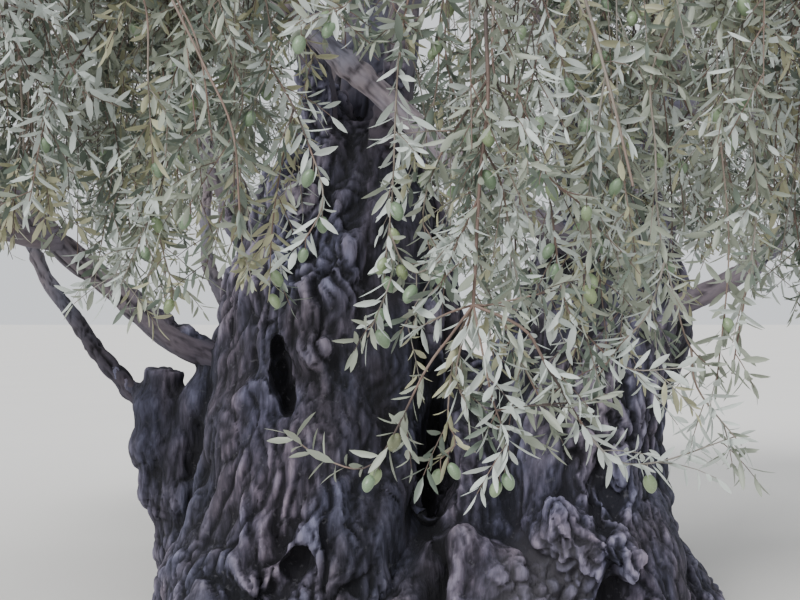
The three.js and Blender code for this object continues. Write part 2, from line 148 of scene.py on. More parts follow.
class Bend:
    """A cubic curve that leaves its start along a heading and reaches its end along an arrival."""

    PULL = 0.38
    TIMES = np.linspace(0, 1, 201)

    def __init__(self, start: Array, heading: Array, end: Array, arrival: Array) -> None:
        """Lays out the curve and measures it.

        Args:
            start: The point that the curve leaves.
            heading: Its direction there, of length 1.
            end: The point that it reaches.
            arrival: Its direction there, of length 1.
        """
        pull = self.PULL * np.linalg.norm(end - start)
        self.controls = np.array([start, start + heading * pull, end - arrival * pull, end])
        pieces = np.linalg.norm(np.diff(self._weights(self.TIMES) @ self.controls, axis=0), axis=1)
        self.travelled = np.concatenate([[0.0], np.cumsum(pieces)])
        self.length = float(self.travelled[-1])

    @staticmethod
    def _weights(times: Array) -> Array:
        """The weight of each control point at each time."""
        rest = 1 - times
        return np.stack([rest**3, 3 * rest**2 * times, 3 * rest * times**2, times**3], axis=-1)

    def _times(self, shares: Array) -> Array:
        """The curve's own times at shares of its length."""
        return np.interp(np.asarray(shares) * self.length, self.travelled, self.TIMES)

    def at(self, shares: Array) -> Array:
        """Points at shares of the curve's length."""
        return self._weights(self._times(shares)) @ self.controls

    def tangent(self, shares: Array) -> Array:
        """Directions of length 1 at shares of the curve's length."""
        t = self._times(shares)
        weights = np.stack([(1 - t) ** 2, 2 * t * (1 - t), t**2], axis=-1)
        return unit(weights @ np.diff(self.controls, axis=0))


# Meshes


def mesh_object(name: str, vertices: Array, faces: Array) -> Object:
    """A smooth mesh object made from arrays, for what is too many to model one by one.

    Args:
        name: The piece's name.
        vertices: One vertex in each row.
        faces: One face in each row, all with the same number of corners.

    Returns:
        The object, which is in the scene.
    """
    mesh = bpy.data.meshes.new(name)
    mesh.vertices.add(len(vertices))
    mesh.vertices.foreach_set("co", np.ascontiguousarray(vertices, np.float32).ravel())
    mesh.loops.add(faces.size)
    mesh.loops.foreach_set("vertex_index", np.ascontiguousarray(faces, np.int32).ravel())
    mesh.polygons.add(len(faces))
    mesh.polygons.foreach_set("loop_start", np.arange(len(faces), dtype=np.int32) * faces.shape[1])
    mesh.polygons.foreach_set("use_smooth", np.full(len(faces), True))
    mesh.update(calc_edges=True)
    piece = bpy.data.objects.new(name, mesh)
    bpy.context.scene.collection.objects.link(piece)
    return piece


def rows_of(items: bpy.types.bpy_prop_collection, key: str, width: int = 3, kind: type = np.float32) -> Array:
    """One property of many items of a mesh, with the numbers of each item in a row."""
    found = np.empty(len(items) * width, kind)
    items.foreach_get(key, found)
    return found.reshape(-1, width).astype(int if kind is np.int32 else float)


def vertices_of(piece: Object) -> Array:
    """A mesh's vertices, one in each row."""
    return rows_of(piece.data.vertices, "co")


def normals_of(piece: Object) -> Array:
    """A mesh's vertex normals, one in each row."""
    return rows_of(piece.data.vertex_normals, "vector")


def place_vertices(piece: Object, vertices: Array) -> None:
    """Moves a mesh's vertices."""
    piece.data.vertices.foreach_set("co", vertices.astype(np.float32).ravel())
    piece.data.update()


def keep_values(piece: Object, name: str, values: Array) -> None:
    """Keeps one number or three for each vertex under an attribute's name."""
    kind, key = ("FLOAT", "value") if values.ndim == 1 else ("FLOAT_VECTOR", "vector")
    kept = piece.data.attributes.new(name, kind, "POINT")
    kept.data.foreach_set(key, values.astype(np.float32).ravel())


def select_only(*pieces: Object) -> None:
    """Selects these objects alone and makes the first one active."""
    bpy.ops.object.select_all(action="DESELECT")
    for piece in pieces:
        piece.select_set(True)
    bpy.context.view_layer.objects.active = pieces[0]


def joined(name: str, pieces: Sequence[Object]) -> Object:
    """Several objects made one, with their faces as they are."""
    select_only(*pieces)
    if len(pieces) > 1:
        bpy.ops.object.join()
    piece = bpy.context.object
    piece.name = piece.data.name = name
    return piece


def apply_modifier(piece: Object, kind: str, **settings: object) -> None:
    """Adds one modifier to a piece and applies it."""
    select_only(piece)
    modifier = piece.modifiers.new(kind.lower(), kind)
    for key, setting in settings.items():
        setattr(modifier, key, setting)
    bpy.ops.object.modifier_apply(modifier=modifier.name)


def rolled_tube(name: str, rings: Array, straight: Array | None = None) -> Object:
    """A flat grid rolled round a route, with its seam merged and its two ends closed.

    Args:
        name: The piece's name.
        rings: Where each ring's points lie, as rings by sides by 3.
        straight: Where they would lie on the straightened tube, kept as the attribute "straight", if given.

    Returns:
        The closed tube, with its faces outwards.
    """
    count, sides = rings.shape[:2]
    bpy.ops.object.select_all(action="DESELECT")
    bpy.ops.mesh.primitive_grid_add(x_subdivisions=sides, y_subdivisions=count - 1, size=1)
    tube = bpy.context.object
    tube.name = tube.data.name = name
    flat = vertices_of(tube)
    side = np.rint((flat[:, 0] + 0.5) * sides).astype(int) % sides
    ring = np.rint((flat[:, 1] + 0.5) * (count - 1)).astype(int)
    place_vertices(tube, rings[ring, side])
    if straight is not None:
        keep_values(tube, "straight", straight[ring, side])
    bpy.ops.object.mode_set(mode="EDIT")
    bpy.ops.mesh.select_all(action="SELECT")
    bpy.ops.mesh.remove_doubles(threshold=1e-6)
    bpy.ops.mesh.fill_holes(sides=0)
    bpy.ops.mesh.normals_make_consistent(inside=False)
    bpy.ops.object.mode_set(mode="OBJECT")
    tube.data.shade_smooth()
    return tube


def rings_round(path: Array, radii: Array, sides: int) -> Array:
    """Rings square to a path, turned as little as possible from each to the next.

    Args:
        path: The middle of each ring.
        radii: The radius of each ring.
        sides: The number of points on a ring.

    Returns:
        The rings' points, as rings by sides by 3.
    """
    tangents = unit(np.gradient(path, axis=0))
    turns = np.linspace(0, math.tau, sides, endpoint=False)
    across = unit(np.cross(tangents[0], UP if abs(tangents[0][2]) < 0.9 else TO_THE_RIGHT))
    rings = []
    for middle, tangent, radius in zip(path, tangents, radii):
        across = unit(across - tangent * (across @ tangent))
        lifted = np.cross(tangent, across)
        spokes = np.outer(np.cos(turns), across) + np.outer(np.sin(turns), lifted)
        rings.append(middle + spokes * radius)
    return np.array(rings)


def tube_arrays(paths: Array, radii: Array, sides: int) -> tuple[Array, Array]:
    """Many thin tubes at once, each closed to a point at its end.

    Args:
        paths: The tubes' middle points, as tubes by rings by 3.
        radii: The radius of each ring, as tubes by rings.
        sides: The number of sides of each tube.

    Returns:
        The vertices and the triangles.
    """
    count, rings = paths.shape[:2]
    tangents = unit(np.gradient(paths, axis=1))
    steep = np.abs(tangents[:, :1, 2:]) > 0.8
    reference = np.where(steep, TO_THE_RIGHT, UP)
    across = unit(np.cross(tangents, reference))
    lifted = np.cross(tangents, across)
    turns = np.linspace(0, math.tau, sides, endpoint=False)[:, None]
    spokes = np.cos(turns) * across[:, :, None] + np.sin(turns) * lifted[:, :, None]
    vertices = paths[:, :, None] + spokes * radii[:, :, None, None]
    index = np.arange(count * rings * sides).reshape(count, rings, sides)
    here, there = index[:, :-1], index[:, 1:]
    here_next, there_next = np.roll(here, -1, axis=2), np.roll(there, -1, axis=2)
    lower = np.stack([here, here_next, there_next], axis=-1).reshape(-1, 3)
    upper = np.stack([here, there_next, there], axis=-1).reshape(-1, 3)
    return vertices.reshape(-1, 3), np.concatenate([lower, upper])


class MeshParts:
    """Vertices and triangles gathered from many small things for one piece."""

    def __init__(self) -> None:
        """Starts with nothing."""
        self.vertices: list[Array] = []
        self.faces: list[Array] = []
        self.values: list[Array] = []
        self.count = 0

    def add(self, vertices: Array, faces: Array, values: Array | None = None) -> None:
        """Adds one batch.

        Args:
            vertices: The batch's vertices.
            faces: Its triangles, counted from its own first vertex.
            values: One number for each vertex, or none for 0.
        """
        self.vertices.append(vertices)
        self.faces.append(faces + self.count)
        self.values.append(np.zeros(len(vertices)) if values is None else values)
        self.count += len(vertices)

    def build(self, name: str, attribute: str | None = None) -> Object:
        """Makes the piece.

        Args:
            name: The piece's name.
            attribute: The name of the attribute that keeps the vertices' numbers, if any.

        Returns:
            The object.
        """
        piece = mesh_object(name, np.concatenate(self.vertices), np.concatenate(self.faces))
        if attribute:
            keep_values(piece, attribute, np.concatenate(self.values))
        return piece


# Materials


def maths(operation: str, swapped: bool = False) -> "Callable[[Value, Value | float], Value]":
    """An operator that adds one Math node, with its two sides swapped for a reflected form."""

    def operator(self: "Value", other: "Value | float") -> "Value":
        """The node's output."""
        first, second = (other, self) if swapped else (self, other)
        return self.graph.add("ShaderNodeMath", {"operation": operation}, {0: first, 1: second})

    return operator


class Value:
    """A node's output that takes part in arithmetic."""

    __add__ = __radd__ = maths("ADD")
    __mul__ = __rmul__ = maths("MULTIPLY")
    __sub__, __rsub__ = maths("SUBTRACT"), maths("SUBTRACT", swapped=True)

    def __init__(self, graph: "Graph", socket: bpy.types.NodeSocket) -> None:
        """Wraps an output socket of a graph."""
        self.graph = graph
        self.socket = socket


class Graph:
    """A material's nodes, added one at a time."""

    def __init__(self, name: str, where: str | None = None) -> None:
        """Starts an empty material that reads Object coordinates, or a named attribute in their place."""
        self.where = where
        self.material = bpy.data.materials.new(name)
        self.material.use_nodes = True
        self.tree = self.material.node_tree
        self.tree.nodes.clear()

    def add(
        self,
        kind: str,
        settings: dict[str, object] | None = None,
        inputs: dict[str | int, object] | None = None,
        output: str | int = 0,
    ) -> Value:
        """Adds one node.

        Args:
            kind: The node's type.
            settings: Its own settings, and "stops" for a ramp's positions and colours.
            inputs: A number, colour or value for each named or numbered socket.
            output: The socket that the result reads.

        Returns:
            The node's output.
        """
        node = self.tree.nodes.new(kind)
        for key, setting in (settings or {}).items():
            if key == "stops":
                self._set_stops(node.color_ramp, setting)
            else:
                setattr(node, key, setting)
        for key, given in (inputs or {}).items():
            if isinstance(given, Value):
                self.tree.links.new(given.socket, node.inputs[key])
            else:
                node.inputs[key].default_value = given
        return Value(self, node.outputs[output])

    @staticmethod
    def _set_stops(ramp: bpy.types.ColorRamp, stops: Stops) -> None:
        """Gives a ramp its positions and colours."""
        while len(ramp.elements) < len(stops):
            ramp.elements.new(1.0)
        for element, (position, colour) in zip(ramp.elements, stops):
            element.position = position
            element.color = (*colour, 1.0)

    def place(self, scale: Point) -> Value:
        """Where the shaded point is, stretched by a scale."""
        if self.where:
            where = self.add("ShaderNodeAttribute", {"attribute_name": self.where}, output="Vector")
        else:
            where = self.add("ShaderNodeTexCoord", output="Object")
        return self.add("ShaderNodeMapping", inputs={"Vector": where, "Scale": scale})

    def noise(self, scale: Point, size: float, detail: float, distortion: float = 0.0) -> Value:
        """A cloudy pattern from 0 to 1."""
        inputs = {"Vector": self.place(scale), "Scale": size, "Detail": detail, "Distortion": distortion}
        return self.add("ShaderNodeTexNoise", inputs=inputs, output="Fac")

    def lumps(self, scale: Point, size: float, drift: float) -> Value:
        """Long lumps drawn out of line by a drift: 0 in their creases, more towards their middles."""
        where = self.place(scale)
        cloudy = {"Vector": where, "Scale": size * 0.45, "Detail": 3.0}
        cloud = self.add("ShaderNodeTexNoise", inputs=cloudy, output="Color")
        centred = self.add("ShaderNodeVectorMath", {"operation": "SUBTRACT"}, {0: cloud, 1: (0.5,) * 3})
        push = self.add("ShaderNodeVectorMath", {"operation": "SCALE"}, {0: centred, 3: drift})
        drawn = self.add("ShaderNodeVectorMath", {"operation": "ADD"}, {0: where, 1: push})
        cells = {"Vector": drawn, "Scale": size}
        return self.add("ShaderNodeTexVoronoi", {"feature": "DISTANCE_TO_EDGE"}, cells)

    def ramp(self, value: Value, stops: Stops) -> Value:
        """Colours in place of a value from 0 to 1."""
        return self.add("ShaderNodeValToRGB", {"stops": stops}, {"Fac": value}, "Color")

    def blend(self, share: Value | float, first: object, second: object, kind: str = "MIX") -> Value:
        """Two colours blended by a share."""
        settings = {"data_type": "RGBA", "blend_type": kind}
        return self.add("ShaderNodeMix", settings, {0: share, 6: first, 7: second}, 2)

    def finish(self, bump: tuple[Value, float] | None = None, **inputs: object) -> bpy.types.Material:
        """Closes the material with one shader.

        Args:
            bump: A height with how deep it is, in metres, if any.
            inputs: The shader's sockets, with _ for a space.

        Returns:
            The material.
        """
        sockets = {key.replace("_", " "): given for key, given in inputs.items()}
        if bump:
            height, depth = bump
            sockets["Normal"] = self.add("ShaderNodeBump", inputs={"Height": height, "Distance": depth})
        shader = self.add("ShaderNodeBsdfPrincipled", inputs=sockets)
        surface = self.tree.nodes.new("ShaderNodeOutputMaterial").inputs["Surface"]
        self.tree.links.new(shader.socket, surface)
        return self.material


@dataclass(frozen=True)
class BarkFinish:
    """Grey bark with painted shade in its furrows and painted highlights on its sinews, darker or paler in
    random patches, and darker or paler by its place attribute, which holds the trunk's painted light and
    shade.
    """

    name: str
    tones: Stops
    patches: Span
    lichen: Colour
    grain: Colour
    bump: float
    shades: tuple[Colour, Colour]
    # The flat pale grey that the strongest painted light lays over the bark
    lit_veil: Colour = (0.15, 0.14, 0.16)
    where: str | None = None
    hues: tuple[Colour, Colour] = ((0.82, 0.86, 1.0), (1.12, 0.99, 0.97))

    def material(self) -> bpy.types.Material:
        """The finish as a material that reads the piece's relief."""
        graph = Graph(self.name, self.where)
        relief = graph.add("ShaderNodeAttribute", {"attribute_name": "relief"}, output="Fac")
        lumps = graph.lumps(self.grain, 21.0, 0.05)
        flakes = graph.lumps(self.grain, 52.0, 0.03)
        fibres = graph.noise(self.grain, 40.0, 6.0, 0.8)
        fine = ((lumps - 0.2) * 0.5, (flakes - 0.2) * 0.2, (fibres - 0.5) * 0.36)
        low, high = ((level,) * 3 for level in self.patches)
        shade = graph.ramp(graph.noise((1.0, 1.0, 0.6), 1.7, 3.0), ((0.36, low), (0.62, high)))
        cool, warm = self.hues
        hue = graph.ramp(graph.noise((1.0, 1.0, 0.5), 4.5, 3.0), ((0.38, cool), (0.62, warm)))
        # Painted shade in the furrows and painted highlights on the ridges: the relief, with the fine bark
        # pattern added, picks the tone.
        colour = graph.ramp(sum(fine, relief), self.tones)
        colour = graph.blend(1.0, graph.blend(1.0, colour, shade, "MULTIPLY"), hue, "MULTIPLY")
        stain = graph.ramp(graph.noise(EVEN, 31.0, 3.0), ((0.62, NONE), (0.76, (0.3,) * 3)))
        colour = graph.blend(stain, colour, (*self.lichen, 1.0))
        # Painted light and shade from the place attribute: on the trunk darker under painted shade and paler
        # under painted light; on a bough darker towards its foot.
        place = graph.add("ShaderNodeAttribute", {"attribute_name": "place"}, output="Fac")
        dark, pale = self.shades
        tinge = graph.ramp(place, ((0.0, dark), (0.5, EVEN), (1.0, pale)))
        colour = graph.blend(1.0, colour, tinge, "MULTIPLY")
        # Painted light: the brightest painted places are veiled with a flat pale grey, which also lowers
        # their contrast.
        lit_veil_share = graph.ramp(place, ((0.7, NONE), (0.9, (0.55,) * 3)))
        colour = graph.blend(lit_veil_share, colour, (*self.lit_veil, 1.0))
        height = fibres * 0.6 + lumps + flakes * 0.3
        return graph.finish((height, self.bump), Base_Color=colour, Roughness=0.92)


@dataclass(frozen=True)
class TwigFinish:
    """The smooth beige and reddish skin of young twigs."""

    name: str = "twig_skin"
    stops: Stops = (
        (0.38, (0.07, 0.052, 0.046)),
        (0.46, (0.19, 0.125, 0.1)),
        (0.56, (0.2, 0.165, 0.135)),
        (0.66, (0.3, 0.28, 0.25)),
    )

    def material(self) -> bpy.types.Material:
        """The finish as a material."""
        graph = Graph(self.name)
        colour = graph.ramp(graph.noise((1.0, 1.0, 0.3), 9.0, 1.0), self.stops)
        return graph.finish((graph.noise(EVEN, 260.0, 2.0), 0.0006), Base_Color=colour, Roughness=0.7)


@dataclass(frozen=True)
class FruitFinish:
    """Waxy green olives, a few of them turning purple."""

    name: str = "olive_skin"
    stops: Stops = (
        (0.0, (0.145, 0.21, 0.125)),
        (0.5, (0.2, 0.28, 0.175)),
        (0.93, (0.22, 0.27, 0.13)),
        (0.97, (0.09, 0.055, 0.07)),
    )
    dot: Colour = (0.34, 0.4, 0.3)

    def material(self) -> bpy.types.Material:
        """The finish as a material that reads each olive's ripeness."""
        graph = Graph(self.name)
        ripeness = graph.add("ShaderNodeAttribute", {"attribute_name": "ripeness"}, output="Fac")
        speckle = graph.noise(EVEN, 420.0, 1.0)
        dots = graph.ramp(speckle, ((0.62, NONE), (0.7, (0.35,) * 3)))
        colour = graph.blend(dots, graph.ramp(ripeness, self.stops), (*self.dot, 1.0))
        return graph.finish((speckle, 0.0004), Base_Color=colour, Roughness=0.38)


class LeafTint(Enum):
    """The leaves' plain colours, with the share of sprays that each is dealt to and its roughness."""

    GREY_GREEN = ((0.265, 0.29, 0.23), 0.35, 0.46)
    SILVER = ((0.49, 0.535, 0.5), 0.31, 0.56)
    DARK_GREEN = ((0.12, 0.148, 0.118), 0.19, 0.4)
    YELLOW_GREEN = ((0.34, 0.335, 0.215), 0.15, 0.48)

    def __init__(self, colour: Colour, share: float, roughness: float) -> None:
        """Keeps one tint's values."""
        self.colour = colour
        self.share = share
        self.roughness = roughness

    @property
    def index(self) -> int:
        """The tint's place in the list."""
        return list(LeafTint).index(self)

    @classmethod
    def shares(cls) -> Array:
        """The share of sprays that each tint is dealt to."""
        shares = np.array([tint.share for tint in cls])
        return shares / shares.sum()

    def material(self) -> bpy.types.Material:
        """The tint as a material."""
        graph = Graph(f"leaf_{self.name.lower()}")
        return graph.finish(Base_Color=(*self.colour, 1.0), Roughness=self.roughness)


# The trunk


@dataclass(frozen=True)
class Stem:
    """One of the trunk's fused stems. Its lists run from the ground to its top in equal steps."""

    height: float
    ribs: int
    twist: float
    seed: int
    centre_x: tuple[float, ...]
    half_width: tuple[float, ...]
    half_depth: tuple[float, ...]

    def section(self, heights: Array) -> Array:
        """The stem's middle across, half width and half depth at each height."""
        listed = np.stack([self.centre_x, self.half_width, self.half_depth], axis=1)
        return smooth_through(listed, np.asarray(heights) / self.height)

    def side(self, heights: Array, bearing: float, sway: Array, out: Array) -> Array:
        """A path up the stem's side, which winds with its twist and stands out from it by some metres."""
        middle, half_width, half_depth = self.section(heights).T
        turn = bearing + self.twist * heights / self.height + sway
        x, y = middle + (half_width + out) * np.cos(turn), (half_depth + out) * np.sin(turn)
        return np.stack([x, y, heights], axis=1)


def wave(phase: float, places: Array, height: float, spacing: float) -> Array:
    """A smooth wave of a height along places."""
    return height * np.sin(phase + places / spacing)


def nearness(places: Array, centre: Point, half: Point) -> Array:
    """How near places are to a centre: 1 there, and about a quarter at its half size."""
    return np.exp(-1.4 * (((places - np.array(centre)) / np.array(half)) ** 2).sum(axis=1))


STEMS = (
    Stem(
        2.75,
        9,
        0.75,
        11,
        (-0.64, -0.56, -0.49, -0.46, -0.43, -0.4),
        (0.79, 0.68, 0.64, 0.56, 0.45, 0.26),
        (1.0, 0.84, 0.7, 0.58, 0.46, 0.28),
    ),
    Stem(
        2.4,
        7,
        -0.6,
        23,
        (0.72, 0.66, 0.7, 0.9, 0.96, 0.94),
        (0.72, 0.6, 0.49, 0.43, 0.35, 0.19),
        (0.9, 0.74, 0.6, 0.48, 0.38, 0.2),
    ),
    Stem(
        1.4,
        5,
        0.4,
        37,
        (0.04, 0.05, 0.06, 0.09, 0.15),
        (0.56, 0.48, 0.43, 0.37, 0.2),
        (0.98, 0.78, 0.64, 0.5, 0.26),
    ),
)


@dataclass
class Trunk:
    """The forked trunk: the source's ribs with finer strands wound over them, burrs, hollows and bark.

    A sway or swelling is a wave: its height, in radians or as a share, and its spacing in metres.
    """

    limbs: "Sequence[Limb]"
    below_ground: float = 0.06
    flare_height: float = 0.42
    flare_reach: float = 0.03
    core: float = 0.78
    core_levels: tuple[float, ...] = (0.25, 0.5, 0.75, 0.92)
    rib_rings: int = 44
    rib_girth: float = 1.25
    rib_girths: Span = (0.86, 1.18)
    rib_tops: Span = (0.84, 1)
    rib_inset: float = 0.85
    rib_sway: Span = (0.16, 0.26)
    rib_swelling: Span = (0.1, 0.11)
    strands: tuple[int, ...] = (52, 38, 20)
    strand_radius: Span = (0.024, 0.085)
    strand_step: float = 0.04
    strand_rooted: float = 0.66
    strand_unevenness: float = 0.8
    strand_highest: float = 0.97
    strand_starts: Span = (0.08, 0.5)
    strand_lengths: Span = (0.35, 0.95)
    strand_out: Span = (-0.6, 0.2)
    strand_sways: tuple[Span, Span] = ((0.26, 0.4), (0.11, 0.15))
    strand_swellings: tuple[Span, Span] = ((0.2, 0.13), (0.1, 0.05))
    knobs: int = 12
    knob_radius: Span = (0.05, 0.11)
    burrs: int = 7
    burr_radius: Span = (0.25, 0.15)
    burr_top: float = 0.56
    burr_front: float = 0.74
    burr_knobs: int = 9
    burr_knob_radius: Span = (0.04, 0.085)
    foot_knobs: int = 80
    foot_knob_radius: Span = (0.03, 0.075)
    foot_knob_top: float = 0.66
    collar_length: float = 0.75
    collar_rings: int = 20
    sinews: int = 6
    voxel: float = 0.0156
    first_voxel: float = 1.25
    middle: float = 0.3

    def build(self) -> list[Object]:
        """Models the left and the right side of the trunk, which grow into each other."""
        left = [*self._stem_tubes(0), *self._routes()]
        right = [*self._stem_tubes(1), *self._stem_tubes(2), *self._burrs()]
        for limb in self.limbs:
            if limb.parent is None:
                side = left if limb.curve.controls[0][0] < self.middle else right
                side += [self._collar(limb), *self._sinews(limb)]
        return [self._fuse("trunk_left_bark", left), self._fuse("trunk_right_bark", right)]

    def _fuse(self, name: str, solids: list[Object]) -> Object:
        """Grows solids together into one skin with bark."""
        trunk = joined(name, solids)
        apply_modifier(trunk, "REMESH", mode="VOXEL", voxel_size=self.voxel * self.first_voxel)
        self._carve(trunk)
        apply_modifier(trunk, "REMESH", mode="VOXEL", voxel_size=self.voxel)
        self._cut_at_ground(trunk)
        self._roughen(trunk)
        trunk.data.shade_smooth()
        return trunk

    def _stem_tubes(self, index: int) -> list[Object]:
        """The ribs, strands, knobs and heartwood of one stem."""
        stem = STEMS[index]
        numbers = SourceNumbers(stem.seed)
        tubes = [self._rib(stem, rib, numbers) for rib in range(stem.ribs)]
        random = np.random.default_rng(stem.seed)
        tubes += [self._strand(stem, index, strand, random) for strand in range(self.strands[index])]
        tubes += [self._knob(stem, random) for _ in range(self.knobs // (index + 1))]
        heights = np.array([-self.below_ground, *(share * stem.height for share in self.core_levels)])
        section = stem.section(heights)
        middles = np.stack([section[:, 0], np.zeros(len(heights)), heights], axis=1)
        tubes.append(self._upright("core", middles, section[:, 1:] * self.core))
        return tubes

    @staticmethod
    def _upright(name: str, middles: Array, halves: Array, sides: int = 16) -> Object:
        """A tube of level elliptical rings."""
        turns = np.linspace(0, math.tau, sides, endpoint=False)
        round_ = np.stack([np.cos(turns), np.sin(turns), np.zeros(sides)], axis=1)
        halves = np.concatenate([halves, np.zeros((len(halves), 1))], axis=1)
        return rolled_tube(name, middles[:, None] + round_[None] * halves[:, None])

    def _flare(self, heights: Array) -> Array:
        """How much of the foot's spread a height has, from 1 on the ground to 0."""
        return np.maximum(0, 1 - np.maximum(heights, 0) / self.flare_height) ** 2

    def _rib(self, stem: Stem, rib: int, numbers: SourceNumbers) -> Object:
        """One of the source's ribs, with more rings."""
        bearing = (rib + 0.3 * (numbers.next() - 0.5)) / stem.ribs * math.tau
        girth = self.rib_girth * math.sin(math.pi / stem.ribs) * mix(*self.rib_girths, numbers.next())
        phase = numbers.next() * math.tau
        spread = self.flare_reach * numbers.next()
        top = stem.height * mix(*self.rib_tops, numbers.next())
        heights = np.linspace(-self.below_ground, top, self.rib_rings)
        radius = stem.section(heights)[:, 1:].sum(axis=1) / 2 * girth
        closing = np.sqrt(1 - 0.85 * np.maximum(0, heights / top) ** 6)
        ring = radius * closing * (1 + wave(phase * 3, heights, *self.rib_swelling))
        out = spread * self._flare(heights) - self.rib_inset * radius
        path = stem.side(heights, bearing, wave(phase, heights, *self.rib_sway), out)
        return self._upright("rib", path, np.stack([ring, ring], axis=1))

    def _strand(self, stem: Stem, index: int, strand: int, random: np.random.Generator) -> Object:
        """A sinew of living wood that wanders up the outside of a stem, swelling and narrowing.

        Args:
            stem: The stem.
            index: The stem's number, 0 for the one without burrs.
            strand: The strand's number.
            random: The numbers that vary it.

        Returns:
            The strand as a closed tube.
        """
        place = strand + self.strand_unevenness * random.uniform(-0.5, 0.5)
        bearing = place / self.strands[index] * math.tau
        rooted = random.random() < self.strand_rooted
        start = -self.below_ground if rooted else random.uniform(*self.strand_starts) * stem.height
        if index and math.sin(bearing) < 0.1:
            start = max(start, self.burr_top)
        length = stem.height * random.uniform(*self.strand_lengths)
        top = min(stem.height * self.strand_highest, start + length)
        heights = np.linspace(start, top, max(10, int((top - start) / self.strand_step)))
        phases = random.uniform(0, math.tau, 4)
        slow, quick = (wave(phase, heights, *sway) for phase, sway in zip(phases, self.strand_sways))
        broad, tight = (wave(phase, heights, *size) for phase, size in zip(phases[2:], self.strand_swellings))
        share = (heights - start) / (top - start)
        radius = mix(*self.strand_radius, random.random() ** 1.6)
        radius = radius * np.sqrt(np.clip(1.02 - share**4, 0.05, 1)) * (1 + broad + tight)
        if start > 0:
            radius = radius * np.sqrt(np.clip(share * 5 + 0.05, 0.05, 1))
        out = random.uniform(*self.strand_out) * radius + self.flare_reach * 0.3 * self._flare(heights)
        return rolled_tube("strand", rings_round(stem.side(heights, bearing, slow + quick, out), radius, 10))

    def _knob(self, stem: Stem, random: np.random.Generator) -> Object:
        """A lump of overgrown wood on a stem's side."""
        z, turn = stem.height * random.uniform(0.03, 0.86) ** 1.2, random.uniform(0, math.tau)
        return self._side_ball(stem, turn, z, random.uniform(*self.knob_radius), random.uniform(0.9, 1.7))

    def _side_ball(self, stem: Stem, turn: float, z: float, radius: float, tall: float) -> Object:
        """A ball on a stem's side, stretched upwards by a share."""
        middle, half_width, half_depth = stem.section(np.array([z]))[0]
        spot = (middle + half_width * math.cos(turn), half_depth * math.sin(turn), z)
        return self._ball(spot, (radius, radius, radius * tall), 2)

    @staticmethod
    def _routes() -> list[Object]:
        """The dead snag and the rope-like rib on the left side."""
        tubes = []
        for points, radii in ROUTES:
            shares = np.linspace(0, 1, 40)
            path = smooth_through(np.array(points), shares)
            radius = smooth_through(np.array(radii)[:, None], shares)[:, 0]
            radius = radius * (1 + 0.09 * np.sin(shares * 31 + 1))
            tubes.append(rolled_tube("route", rings_round(path, radius, 12)))
        return tubes

    @staticmethod
    def _ball(centre: Point, half: Point, subdivisions: int = 3) -> Object:
        """A ball of small triangles, stretched to half sizes."""
        bpy.ops.object.select_all(action="DESELECT")
        bpy.ops.mesh.primitive_ico_sphere_add(subdivisions=subdivisions, radius=1, location=centre)
        ball = bpy.context.object
        bpy.ops.transform.resize(value=half)
        bpy.ops.object.transform_apply(location=True, rotation=True, scale=True)
        return ball

    def _burrs(self) -> list[Object]:
        """The burrs on the foot of the right stem, by the source's rule, and the knobs that cover them."""
        stem = STEMS[1]
        random = np.random.default_rng(5)
        balls = []
        for number in range(self.burrs):
            across = (0.17 + number * 0.618) % 1
            raised = (0.4 + number * 0.382) % 1
            x, z = mix(0.08, 0.88, across), mix(0.09, 0.54, raised)
            radius = mix(*self.burr_radius, raised)
            middle, half_width, half_depth = stem.section(np.array([z]))[0]
            round_ = math.sqrt(max(0.0, 1 - ((x - middle) / half_width) ** 2))
            y = min(0.35 * radius - half_depth * round_, -self.burr_front)
            balls.append(self._ball((x, y, z), (radius, radius * 0.85, radius * mix(1.1, 0.8, across))))
            for _ in range(self.burr_knobs):
                turn, rise = random.uniform(-math.pi, 0), random.uniform(-0.3, 0.9)
                level, sunk = math.sqrt(1 - rise * rise), 0.84 * radius
                east, north = x + sunk * level * math.cos(turn), y + 0.85 * sunk * level * math.sin(turn)
                spot, knob = (east, north, z + sunk * rise), random.uniform(*self.burr_knob_radius)
                balls.append(self._ball(spot, (knob, knob, knob * 1.3), 2))
        for _ in range(self.foot_knobs):
            turn, z = random.uniform(-2.9, -0.2), random.uniform(0.0, self.foot_knob_top)
            knob, tall = random.uniform(*self.foot_knob_radius), random.uniform(1.0, 1.6)
            balls.append(self._side_ball(stem, turn, z, knob, tall))
        return balls

    def _foot(self, limb: "Limb") -> tuple[Array, Array]:
        """Shares of a bough's length over its foot, and how far along the foot each lies."""
        length = self.collar_length * (1.0 if limb.radii[0] > 0.08 else 0.5)
        fade = np.linspace(0, 1, self.collar_rings)
        return fade * min(0.45, length / limb.curve.length), fade

    def _collar(self, limb: "Limb") -> Object:
        """The swollen foot of a bough where it leaves the trunk."""
        shares, fade = self._foot(limb)
        radius = limb.radius(shares) * mix(1.4, 0.85, fade**0.6)
        return rolled_tube("collar", rings_round(limb.curve.at(shares), radius, 12))

